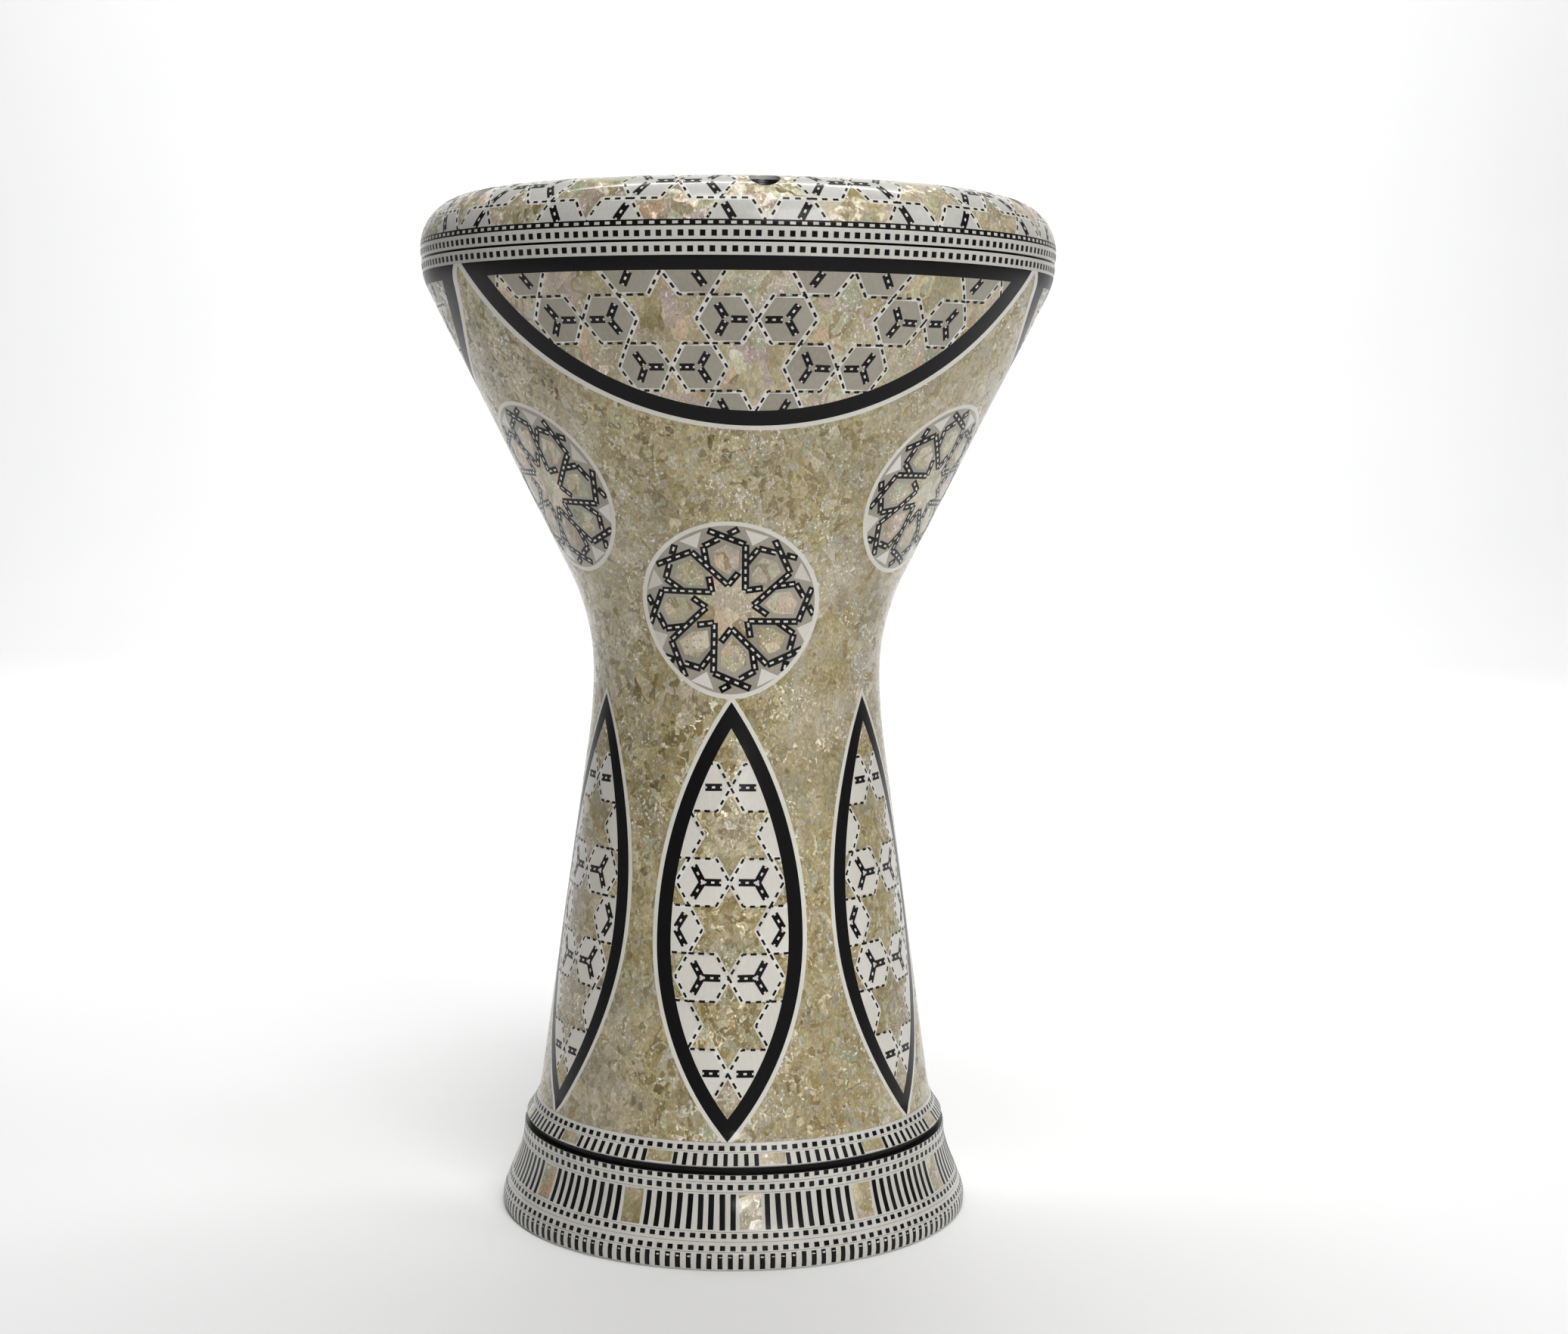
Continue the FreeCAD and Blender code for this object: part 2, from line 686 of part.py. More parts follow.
def make_head():
    gap = dim("film_gap")
    thick = dim("film_thick")
    bend_low = dim("bearing_round") + gap
    bend_high = bend_low + thick
    turn_radius = dim("bearing_radius") - dim("bearing_round")
    turn_height = dim("bearing_top") - dim("bearing_round")
    outline = [
        (0, dim("bearing_top") + gap),
        (turn_radius, dim("bearing_top") + gap),
        (dim("bearing_radius") + gap, turn_height, -bend_low),
        (dim("bearing_radius") + gap, dim("collar_low")),
        (dim("bearing_radius") + gap + thick, dim("collar_low")),
        (dim("bearing_radius") + gap + thick, turn_height),
        (turn_radius, dim("bearing_top") + gap + thick, bend_high),
        (0, dim("bearing_top") + gap + thick),
    ]
    film = revolved_body("drum_head", "drum_head", outline)
    hoop_inner = dim("bearing_radius") + gap + thick + dim("hoop_gap")
    hoop_outer = hoop_inner + dim("hoop_width")
    hoop_top = dim("hoop_low") + dim("hoop_height")
    hoop = revolved_body("flesh_hoop", "flesh_hoop", [
        (hoop_inner, dim("hoop_low")),
        (hoop_outer, dim("hoop_low")),
        (hoop_outer, hoop_top),
        (hoop_inner, hoop_top),
    ])
    return [film, hoop]


# ---------------------------------------------------------------- bolts and washers

def make_washers():
    low = dim("counterbore_low")
    top = low + dim("washer_thick")
    discs = bolt_circle_cylinders("washer_discs", dim("washer_radius"), low, top)
    holes = bolt_circle_cylinders("washer_holes", dim("washer_hole_radius"), low - overrun,
                                  top + overrun)
    return cut("bolt_washers", "bolt_washers", discs, holes)


def make_bolt(index):
    """Cap-head bolt with a hex socket, standing on its own axis."""
    name = f"tension_bolt_{index + 1}"
    seat = dim("counterbore_low") + dim("washer_thick") + dim("head_gap")
    head_top = seat + dim("bolt_head_height")
    edge = dim("bolt_head_round")
    body = revolved_body(name, name, [
        (0, seat - dim("bolt_length")),
        (dim("bolt_radius") - edge, seat - dim("bolt_length")),
        (dim("bolt_radius"), seat - dim("bolt_length") + edge),
        (dim("bolt_radius"), seat),
        (dim("bolt_head_radius"), seat),
        (dim("bolt_head_radius"), head_top - edge),
        (dim("bolt_head_radius") - edge, head_top, edge),
        (0, head_top),
    ])
    doc.recompute()
    socket = new_sketch(body, name + "_socket", "XY_Plane")
    bind(socket, "AttachmentOffset.Base.z", head_top)
    flat = dim("socket_width") * 0.5
    corner = flat / as_size(0.75).root()
    half = corner * 0.5
    draw_outline(socket, [(corner, 0), (half, flat), (-half, flat),
                          (-corner, 0), (-half, -flat), (half, -flat)])
    recess = body.newObject("PartDesign::Pocket", name + "_recess")
    recess.Profile = socket
    bind(recess, "Length", dim("socket_depth"))
    body.Tip = recess
    on_bolt_circle(body, index)
    return body


# ---------------------------------------------------------------- build and write

nodes = [make_shell(), make_inserts()]
nodes += make_foot_inlay()
nodes += make_panels()
nodes += make_seam_bands()
nodes += make_ring()
nodes += make_head()
nodes.append(make_washers())
nodes += [make_bolt(index) for index in range(BOLT_COUNT)]
doc.recompute()

for item in doc.Objects:
    if "Invalid" in item.State or "Error" in item.State:
        raise RuntimeError(f"{item.Name} failed: {item.State}")
for node in nodes:
    if node.Shape.isNull() or not node.Shape.isValid() or not node.Shape.Solids:
        raise RuntimeError(f"{node.Label} has no valid solid")

os.makedirs("parts", exist_ok=True)
for node in nodes:
    node.Shape.exportStep(os.path.join("parts", node.Label + ".step"))
    box = node.Shape.BoundBox
    print(f"{node.Label:24s} solids {len(node.Shape.Solids):3d}  volume {node.Shape.Volume:10.1f}"
          f"  z {box.ZMin:7.2f} {box.ZMax:7.2f}  x {box.XMin:7.2f} {box.XMax:7.2f}")
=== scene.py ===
import random
from dataclasses import dataclass
from math import acos, atan2, ceil, copysign, cos, degrees, floor, hypot, pi, radians, sin, sqrt

import bpy
import numpy as np
from mathutils import Matrix, Vector
from mathutils.geometry import delaunay_2d_cdt


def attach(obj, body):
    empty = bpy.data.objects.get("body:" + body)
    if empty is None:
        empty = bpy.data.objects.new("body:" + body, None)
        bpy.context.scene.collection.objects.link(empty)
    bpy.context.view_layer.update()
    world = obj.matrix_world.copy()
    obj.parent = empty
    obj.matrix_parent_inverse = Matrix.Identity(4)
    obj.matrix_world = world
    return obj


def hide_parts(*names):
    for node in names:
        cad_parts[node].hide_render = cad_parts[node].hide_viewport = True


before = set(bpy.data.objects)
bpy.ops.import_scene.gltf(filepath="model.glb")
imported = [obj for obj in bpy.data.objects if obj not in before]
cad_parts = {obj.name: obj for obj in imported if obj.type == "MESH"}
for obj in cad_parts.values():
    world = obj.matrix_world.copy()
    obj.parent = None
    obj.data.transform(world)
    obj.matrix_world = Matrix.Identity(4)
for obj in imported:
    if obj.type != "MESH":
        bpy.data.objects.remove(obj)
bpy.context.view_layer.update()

# Goblet drum with a mother-of-pearl inlay.  Every length below is in millimetres and
# every angle in degrees until a mesh is made, which is in metres.  Azimuth 0 is the
# front (-Y) and grows towards +X.

MM = 0.001
FULL_TURN = 360.0

# ---- sizes

CROWN_BEND = 22.0
RIM_RADIUS = 140.0
DRUM_HEIGHT = 450.0
CROWN_RADIUS = RIM_RADIUS - CROWN_BEND
CROWN_CENTRE = DRUM_HEIGHT - CROWN_BEND
RING_LOW = 423.45
RING_CHECK_TOP = 428.6
RING_DOT_TOP = 431.1
RING_LIP = 112.4

FOOT_CORNERS = [(104.9, 0.8), (104.4, 8.0, 12.0), (101.3, 15.8), (96.0, 31.0, -72.0),
                (95.4, 38.2)]
GROOVE_CORNERS = [(92.8, 38.2), (92.8, 41.8)]
LEDGE_CORNERS = [(95.3, 38.2), (92.8, 38.2)]
BODY_CORNERS = [(94.6, 41.8), (91.1, 46.9), (89.4, 50.7), (88.2, 55.0), (66.9, 210.0),
                (64.4, 243.0, -243.0), (74.8, 287.0, -98.0), (136.5, 410.0),
                (139.05, 417.4, 28.0), (139.7, 422.45)]

SKIN = 1.5            # thickness of the inlay
TILE_DEPTH = 0.3      # how far a mosaic tile reaches into the layer under it
BAND_STEP = 1.5       # degrees between the points of a plain ring
EDGE_STEP = 2.0       # between the points of a region's straight sides


def crown_corner(height):
    return CROWN_RADIUS + sqrt(CROWN_BEND ** 2 - (height - CROWN_CENTRE) ** 2), height


LIP_HEIGHT = CROWN_CENTRE + sqrt(CROWN_BEND ** 2 - (CROWN_RADIUS - RING_LIP) ** 2)
RING_CORNERS = [crown_corner(RING_LOW), (RING_LIP, LIP_HEIGHT, CROWN_BEND)]


# ---- surface of the drum

class Side:
    """One smooth stretch of the drum's outside, walked upwards from its lowest corner.
    Places on it are (azimuth, run), where run is the distance walked."""

    STEP = 0.25
    body = "shell"            # what carries the pieces laid on it

    def __init__(self, corners):
        rows = [row for a, b in zip(corners, corners[1:]) for row in self.segment(a, b)]
        self.r, self.z, self.nr, self.nz = np.array(rows).T
        steps = np.hypot(np.diff(self.r), np.diff(self.z))
        self.s = np.concatenate([[0.0], np.cumsum(np.maximum(steps, 1e-7))])
        self.length = self.s[-1]

    def segment(self, start, end):
        """Evenly spaced (radius, height, normal across, normal up) along a line or arc."""
        a = Vector(start[:2])
        b = Vector(end[:2])
        chord = b - a
        count = max(2, int(chord.length / self.STEP))
        if len(end) == 2:
            normal = Vector((chord.y, -chord.x)).normalized()
            for k in range(count + 1):
                yield *a.lerp(b, k / count), *normal
            return
        bend = end[2]
        rise = sqrt(bend * bend - chord.length_squared / 4.0)
        left = Vector((-chord.y, chord.x)).normalized()
        centre = (a + b) / 2.0 + left * copysign(rise, bend)
        first = atan2(a.y - centre.y, a.x - centre.x)
        last = atan2(b.y - centre.y, b.x - centre.x)
        turn = (last - first + pi) % (2.0 * pi) - pi
        for k in range(count + 1):
            angle = first + turn * k / count
            out = Vector((cos(angle), sin(angle)))
            yield *(centre + out * abs(bend)), *(out * copysign(1.0, bend))

    def run_at(self, height):
        return np.interp(height, self.z, self.s)

    def run_on_top(self, radius):
        """Run of a radius on the stretch that closes in towards the top."""
        widest = int(np.argmax(self.r))
        return np.interp(-np.asarray(radius), -self.r[widest:], self.s[widest:])

    def radius_at(self, run):
        return np.interp(run, self.s, self.r)

    def places(self, azimuth, run, rise):
        """Points and normals in millimetres, rise above the surface."""
        turn = np.radians(azimuth)
        r, z, nr, nz = (np.interp(run, self.s, v) for v in (self.r, self.z, self.nr, self.nz))
        size = np.hypot(nr, nz)
        nr, nz = nr / size, nz / size
        out = r + rise * nr
        points = np.stack([out * np.sin(turn), -out * np.cos(turn), z + rise * nz], axis=-1)
        normals = np.stack([nr * np.sin(turn), -nr * np.cos(turn), nz], axis=-1)
        return points, normals


FOOT, GROOVE, LEDGE, BODY, RING = (Side(corners) for corners in (
    FOOT_CORNERS, GROOVE_CORNERS, LEDGE_CORNERS, BODY_CORNERS, RING_CORNERS))
RING.body = "ring"


# ---- flat layouts

def unit(angle):
    return cos(radians(angle)), sin(radians(angle))


def spaced(first, count):
    """Angles evenly spaced right round."""
    return [first + FULL_TURN * k / count for k in range(count)]


@dataclass
class Layout:
    """A flat sheet of the pattern laid on a side: x runs round the drum, y up it.
    With a radius, x is stretched as it would be at that radius all the way up."""

    side: Side
    azimuth: float
    run: float
    radius: float = None
    angle: float = 0.0

    def place(self, points):
        """(x, y) in millimetres to (azimuth, run)."""
        p = np.asarray(points, float)
        c, s = unit(self.angle)
        x = p[..., 0] * c - p[..., 1] * s
        y = p[..., 0] * s + p[..., 1] * c
        run = self.run + y
        radius = self.radius or self.side.radius_at(run)
        return np.stack([self.azimuth + np.degrees(x / radius), run], axis=-1)

    def unplace(self, places):
        """(azimuth, run) back to (x, y)."""
        p = np.asarray(places, float)
        radius = self.radius or self.side.radius_at(p[..., 1])
        x = np.radians(p[..., 0] - self.azimuth) * radius
        y = p[..., 1] - self.run
        c, s = unit(self.angle)
        return np.stack([x * c + y * s, y * c - x * s], axis=-1)


def sides_of(loop):
    """Each corner of a closed loop with the next."""
    return zip(loop, [*loop[1:], *loop[:1]])


def between(a, b, t):
    return a[0] + (b[0] - a[0]) * t, a[1] + (b[1] - a[1]) * t


def extent(points):
    return points.min(axis=0), points.max(axis=0)


def polygon_area(polygon):
    p = np.asarray(polygon)
    q = np.roll(p, -1, axis=0)
    return np.sum(p[:, 0] * q[:, 1] - q[:, 0] * p[:, 1]) / 2.0


def rectangle(x, y, width, height, angle=0.0):
    c, s = unit(angle)
    corners = [(-width / 2, -height / 2), (width / 2, -height / 2),
               (width / 2, height / 2), (-width / 2, height / 2)]
    return [(x + u * c - v * s, y + u * s + v * c) for u, v in corners]


def polar(x, y, radius, angle):
    """The point at a distance and an angle from (x, y)."""
    c, s = unit(angle)
    return x + radius * c, y + radius * s


def bearing(a, b):
    """Direction from a to b in degrees."""
    return degrees(atan2(b[1] - a[1], b[0] - a[0]))


def split_edges(loop, longest):
    """Loop of (x, y) with no side longer than longest."""
    result = []
    for a, b in sides_of(loop):
        count = max(1, ceil(hypot(b[0] - a[0], b[1] - a[1]) / longest))
        for k in range(count):
            result.append((a[0] + (b[0] - a[0]) * k / count, a[1] + (b[1] - a[1]) * k / count))
    return np.array(result)


# ---- building meshes

scene = bpy.context.scene


def add_object(name, data):
    thing = bpy.data.objects.new(name, data)
    scene.collection.objects.link(thing)
    return thing


def smooth_mesh(name, points, faces, material):
    mesh = bpy.data.meshes.new(name)
    mesh.from_pydata(points, [], faces)
    mesh.polygons.foreach_set("use_smooth", [True] * len(mesh.polygons))
    mesh.materials.append(material)
    return mesh


class Pieces:
    """Collects thin solid pieces on the drum's surface and makes one object of them."""

    def __init__(self, name, made_of, *replaces):
        self.name, self.replaces = name, replaces
        self.slot, self.material = made_of
        self.points, self.faces, self.normals, self.tints = [], [], [], []
        self.count = 0

    def add_face(self, corners, normals, tint):
        self.faces.append(corners)
        self.normals.extend(normals)
        self.tints.append(tint)

    def add_sheet(self, side, places, triangles, top, low, tint):
        """Closed thin solid: triangles at top and low, and walls along their outer edges."""
        high_points, high_normals = side.places(*places.T, top)
        low_points, _ = side.places(*places.T, low)
        size, base, self.body = len(high_points), self.count, side.body
        self.points.append(np.concatenate([high_points, low_points]))
        self.count += 2 * size
        for first, way in ((base, 1), (base + size, -1)):
            for tri in triangles:
                self.add_face([first + v for v in tri[::way]],
                              [high_normals[v] * way for v in tri[::way]], tint)
        for a, b in boundary_edges(triangles):
            out = np.cross(high_points[b] - high_points[a], high_normals[a])
            out = out / (np.linalg.norm(out) + 1e-12)
            self.add_face([base + b, base + a, base + size + a, base + size + b], [out] * 4, tint)

    def add_tile(self, layout, polygon, top, low, tint, fine=2.6):
        """One small convex tile given by its corners on a layout."""
        loop = np.asarray(polygon, float)
        area = polygon_area(loop)
        if abs(area) < 0.05:
            return
        loop = split_edges(loop if area > 0 else loop[::-1], fine)
        triangles = [(0, k, k + 1) for k in range(1, len(loop) - 1)]
        lo, hi = extent(loop)
        if (hi - lo).max() > fine * 1.4:
            inner = grid_of(*(np.arange(lo[k] + fine / 2, hi[k], fine) for k in (0, 1)))
            inner = inner[(Fence(loop).gaps(inner) > 0.5).all(axis=1)]
            if len(inner):
                made = delaunay_2d_cdt([Vector(p) for p in [*loop, *inner]], [],
                                       [list(range(len(loop)))], 1, 1e-5)
                loop = np.array([tuple(v) for v in made[0]])
                triangles = [tuple(f) for f in made[2]]
        self.add_sheet(layout.side, layout.place(loop), triangles, top, low, tint)

    def add_region(self, side, outers, holes, window, top=0.0, low=-SKIN, tint=0.5,
                   step_azimuth=2.0, step_run=2.6):
        """Region inside the outers, clear of the holes, within a window of
        (first azimuth, last azimuth, low run, high run)."""
        first, last, bottom, ceiling = window
        stretch = 1.5
        loops = [loop for loop in outers + holes
                 if loop[:, 0].max() > first and loop[:, 0].min() < last]
        points, edges = [], []
        for loop in loops + [np.array(strip_loop(*window))]:
            start = len(points)
            points += [Vector((azimuth * stretch, run)) for azimuth, run in loop]
            edges += [(start + k, start + (k + 1) % len(loop)) for k in range(len(loop))]
        grid = grid_of(np.arange(ceil(first / step_azimuth) * step_azimuth, last, step_azimuth),
                       np.arange(bottom + step_run / 2, ceiling, step_run))
        grid = grid[in_region(grid, outers, holes, window)]
        points += [Vector((azimuth * stretch, run)) for azimuth, run in grid]
        made = delaunay_2d_cdt(points, edges, [], 0, 1e-6)
        flat = np.array([(v.x / stretch, v.y) for v in made[0]])
        triangles = np.array([f for f in made[2] if len(f) == 3], int).reshape(-1, 3)
        middles = flat[triangles].mean(axis=1)
        triangles = triangles[in_region(middles, outers, holes, window)]
        if not len(triangles):
            return
        ab, ac = ((flat[triangles[:, k]] - flat[triangles[:, 0]]).T for k in (1, 2))
        area = ab[0] * ac[1] - ab[1] * ac[0]
        triangles, area = triangles[np.abs(area) > 1e-7], area[np.abs(area) > 1e-7]
        triangles[area < 0] = triangles[area < 0][:, ::-1]
        used, triangles = np.unique(triangles, return_inverse=True)
        triangles = [tuple(t) for t in triangles.reshape(-1, 3)]
        self.add_sheet(side, flat[used], triangles, top, low, tint)

    def add_band(self, side, run_low, run_high, top=0.0, low=-SKIN, step_run=1.2):
        """A plain ring right round the drum between two runs."""
        columns = int(FULL_TURN / BAND_STEP)
        rows = max(1, ceil((run_high - run_low) / step_run))
        azimuth = np.tile(spaced(0.0, columns), rows + 1)
        run = np.repeat(np.linspace(run_low, run_high, rows + 1), columns)
        triangles = []
        for a in range(rows * columns):
            b = a - a % columns + (a + 1) % columns
            triangles += [(a, b, b + columns), (a, b + columns, a + columns)]
        self.add_sheet(side, np.stack([azimuth, run], axis=1), triangles, top, low, 0.5)

    def finish(self):
        points = np.concatenate(self.points) * MM
        mesh = smooth_mesh(self.name, points.tolist(), self.faces, self.material)
        tint = mesh.attributes.new("tint", "FLOAT", "FACE")
        tint.data.foreach_set("value", np.array(self.tints, np.float32))
        mesh.normals_split_custom_set([tuple(n) for n in self.normals])
        piece = add_object(self.name, mesh)
        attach(piece, self.body)
        if self.replaces:
            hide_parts(*self.replaces)


def boundary_edges(triangles):
    """Edges that belong to one triangle only, in that triangle's sense."""
    seen = {}
    for tri in triangles:
        for a, b in sides_of(tri):
            if not seen.pop((b, a), False):
                seen[(a, b)] = True
    return list(seen)


def strip_loop(first, last, low, high):
    """Outline of a stretch of a side between two azimuths and two runs, cut up finely."""
    across = np.linspace(first, last, max(2, int((last - first) / EDGE_STEP)), endpoint=False)
    up = np.linspace(low, high, max(2, int((high - low) / EDGE_STEP)), endpoint=False)
    loop = [(a, low) for a in across] + [(last, r) for r in up]
    return loop + ([(first + last - a, high) for a in across]
                   + [(first, low + high - r) for r in up])


def in_region(points, outers, holes, window):
    """Which points lie inside any of the outers, in none of the holes, and in the window."""
    first, last, low, high = window
    x, y = points[:, 0], points[:, 1]
    kept = (x > first) & (x < last) & (y > low) & (y < high)
    if outers:
        kept &= np.any([points_inside(points, loop) for loop in outers], axis=0)
    for loop in holes:
        kept &= ~points_inside(points, loop)
    return kept


def grid_of(columns, rows):
    return np.array([(x, y) for x in columns for y in rows]).reshape(-1, 2)


def points_inside(points, loop):
    """Even-odd test of many points against one loop."""
    inside = np.zeros(len(points), bool)
    low, high = extent(loop)
    near = np.flatnonzero(((points >= low) & (points <= high)).all(axis=1))
    if not len(near):
        return inside
    x, y = points[near, 0], points[near, 1]
    hit = np.zeros(len(near), bool)
    for (ax, ay), (bx, by) in sides_of(loop):
        if ay == by:
            continue
        hit ^= ((ay > y) != (by > y)) & (x < (bx - ax) * (y - ay) / (by - ay) + ax)
    inside[near] = hit
    return inside


class Fence:
    """Convex counter-clockwise outline on a layout that tiles are trimmed to."""

    def __init__(self, loop):
        loop = np.asarray(loop, float)
        self.loop = loop if polygon_area(loop) > 0 else loop[::-1]
        step = np.roll(self.loop, -1, axis=0) - self.loop
        size = np.hypot(step[:, 0], step[:, 1])
        self.loop = self.loop[size > 1e-6]
        step = step[size > 1e-6] / size[size > 1e-6, None]
        self.across = np.stack([-step[:, 1], step[:, 0]], axis=1)
        self.offset = (self.across * self.loop).sum(axis=1)

    def gaps(self, points):
        """How far each point is inside each of the sides."""
        return np.asarray(points) @ self.across.T - self.offset

    def trim(self, polygon):
        gaps = self.gaps(polygon)
        if (gaps >= 0).all():
            return polygon
        if (gaps.max(axis=0) < 0).any():
            return []
        result = [tuple(p) for p in polygon]
        for a, b in sides_of(self.loop):
            edge = (b[0] - a[0], b[1] - a[1])
            offs = [edge[0] * (p[1] - a[1]) - edge[1] * (p[0] - a[0]) for p in result]
            kept = []
            for (p, off_p), (q, off_q) in sides_of(list(zip(result, offs))):
                if off_p >= 0:
                    kept.append(p)
                if (off_p >= 0) != (off_q >= 0):
                    kept.append(between(p, q, off_p / (off_p - off_q)))
            result = kept
            if len(result) < 3:
                return []
        return result


# ---- node materials

class Nodes:
    """A short way to write a procedural material."""

    def __init__(self, name):
        self.material = bpy.data.materials.new(name)
        self.material.use_nodes = True
        self.tree = self.material.node_tree
        self.tree.nodes.clear()
        self.shader = self.add("BsdfPrincipled")
        self.add("OutputMaterial", {"Surface": self.shader.outputs[0]})
        self.place = self.add("TexCoord").outputs["Object"]

    def add(self, kind, inputs=(), **settings):
        """A new node of a kind, with its settings and its inputs given or joined."""
        node = self.tree.nodes.new("ShaderNode" + kind)
        for name, value in settings.items():
            setattr(node, name, value)
        for key, value in dict(inputs).items():
            self.put(node.inputs[key], value)
        return node

    def put(self, socket, value):
        if isinstance(value, bpy.types.NodeSocket):
            self.tree.links.new(value, socket)
        else:
            socket.default_value = value

    def set(self, **values):
        """Sockets of the shader, with _ for a space in a name."""
        for name, value in values.items():
            self.put(self.shader.inputs[name.replace("_", " ")], value)

    def mapping(self, scale, turn=(0.0, 0.0, 0.0), source=None):
        return self.add("Mapping", {"Vector": source or self.place, "Scale": scale,
                                    "Rotation": [radians(a) for a in turn]}).outputs[0]

    def noise(self, scale, detail, rough=0.5, source=None, output="Fac"):
        return self.add("TexNoise", {"Vector": source or self.place, "Scale": scale,
                                     "Detail": detail, "Roughness": rough}).outputs[output]

    def ramp(self, source, stops, smooth=True):
        node = self.add("ValToRGB", {0: source})
        band = node.color_ramp
        band.interpolation = "LINEAR" if smooth else "CONSTANT"
        while len(band.elements) < len(stops):
            band.elements.new(0.5)
        for element, (at, colour) in zip(band.elements, stops):
            element.position = at
            element.color = (*colour, 1.0)
        return node.outputs["Color"]

    def math(self, operation, a, b=0.0):
        return self.add("Math", {0: a, 1: b}, operation=operation).outputs[0]

    def vector(self, operation, a, b=(0.0, 0.0, 0.0)):
        """Vector maths on a and b, where b is a number if the operation is SCALE."""
        second = "Scale" if operation == "SCALE" else 1
        return self.add("VectorMath", {0: a, second: b}, operation=operation).outputs

    def mix(self, factor, a, b, blend="MIX"):
        a, b = (v if isinstance(v, bpy.types.NodeSocket) else (*v, 1.0) for v in (a, b))
        return self.add("Mix", {0: factor, 6: a, 7: b}, data_type="RGBA",
                        blend_type=blend).outputs[2]

    def span(self, value, *ends):
        """A value taken from one range to another, given as low, high, low, high."""
        return self.add("MapRange", {0: value, **dict(enumerate(ends, 1))}).outputs[0]

    def stain(self, tone, pattern, low, high, amount, colour):
        """A colour laid over a tone where the pattern is high, by up to amount."""
        return self.mix(self.span(pattern, low, high, 0.0, amount), tone, colour)

    def bump(self, height, strength, distance):
        return self.add("Bump", {"Height": height, "Strength": strength,
                                 "Distance": distance}).outputs[0]


def srgb(*colour):
    """Linear colour from the usual 0 to 255 numbers."""
    return tuple(v / 12.92 if v <= 0.04045 else ((v + 0.055) / 1.055) ** 2.4
                 for v in (c / 255.0 for c in colour))


def lacquer(nodes, **extra):
    """Clear gloss coat over the inlay."""
    nodes.set(Coat_Weight=0.45, Coat_Roughness=0.09, Coat_IOR=1.33, Specular_IOR_Level=0.22)
    nodes.set(**extra)


def crushed_pearl(name, flake, tones, tilt, specks):
    """Broken shell in resin: long flakes lying every way, each with its own tone and tilt, and
    near-white flecks painted in as glints.
    """
    nodes = Nodes(name)
    warp = nodes.noise(90.0, 2.0, output="Color")
    bent = nodes.vector("ADD", nodes.place, nodes.vector("SCALE", warp, 0.004)[0])[0]
    layers = [nodes.add("TexVoronoi", {"Vector": nodes.mapping(stretch, turn, bent),
                                       "Scale": 1.0 / flake}).outputs["Color"]
              for turn, stretch in (((20.0, 35.0, 10.0), (1.0, 0.28, 0.62)),
                                    ((-40.0, 15.0, 65.0), (0.30, 1.0, 0.7)),
                                    ((70.0, -25.0, 120.0), (0.7, 0.85, 0.26)))]
    zone = nodes.noise(0.7 / flake, 1.0)
    cell = layers[0]
    for edge, layer in zip((0.5, 0.58), layers[1:]):
        pick = nodes.ramp(zone, [(0.0, (0, 0, 0)), (edge, (1, 1, 1))], smooth=False)
        cell = nodes.mix(pick, cell, layer)
    split = nodes.add("SeparateColor", {0: cell})
    tone = nodes.ramp(split.outputs[0], tones)
    drift = nodes.noise(16.0, 3.0, 0.6)
    tone = nodes.mix(0.55, tone, nodes.ramp(drift, stops(
        (0.35, 120, 108, 74), (0.5, 176, 168, 142), (0.64, 150, 138, 100))), "OVERLAY")
    for scale, low, high, amount, colour in ((24.0, 0.50, 0.64, 0.32, (204, 194, 180)),
                                             (33.0, 0.55, 0.68, 0.38, (132, 134, 112))):
        tone = nodes.stain(tone, nodes.noise(scale, 3.0), low, high, amount, srgb(*colour))
    fibre = nodes.noise(1400.0, 3.0, 0.7, nodes.mapping((1.0, 0.25, 0.55), (15.0, 40.0, 30.0)))
    streak = nodes.ramp(fibre, [(0.3, (0.25, 0.24, 0.2)), (0.5, (0.5, 0.5, 0.5)),
                                       (0.7, (0.8, 0.79, 0.74))])
    tone = nodes.mix(0.62, tone, streak, "OVERLAY")
    dark = nodes.noise(420.0, 3.0, 0.75)
    tone = nodes.stain(tone, dark, 0.60, 0.70, specks, srgb(74, 66, 42))
    # painted glints: small clusters of near-white flecks laid into the colour stand in for lamp
    # highlights on the flakes
    glint_noise = nodes.noise(820.0, 2.0, 0.6, nodes.mapping((1.0, 0.5, 0.8), (30.0, 10.0, 55.0)))
    glint_clusters = nodes.span(nodes.noise(38.0, 2.0), 0.42, 0.62, 0.10, 0.95)
    painted_glints = nodes.math("MULTIPLY", nodes.span(glint_noise, 0.60, 0.65, 0.0, 1.0), glint_clusters)
    tone = nodes.mix(painted_glints, tone, srgb(238, 237, 232))
    leans = []
    fine = nodes.noise(2.1 / flake, 1.0, output="Color")
    for pattern, amount in ((cell, tilt), (fine, tilt * 0.9)):
        lean = nodes.vector("SUBTRACT", pattern, (0.5, 0.5, 0.5))[0]
        leans.append(nodes.vector("SCALE", lean, amount)[0])
    face = nodes.add("NewGeometry").outputs["Normal"]
    normal = nodes.vector("ADD", face, nodes.vector("ADD", *leans)[0])[0]
    normal = nodes.vector("NORMALIZE", normal)[0]
    gloss = nodes.span(split.outputs[1], 0.0, 1.0, 0.16, 0.42)
    lacquer(nodes, Base_Color=tone, Roughness=gloss, Normal=normal, Metallic=0.08,
            Specular_IOR_Level=0.65)
    return nodes.material


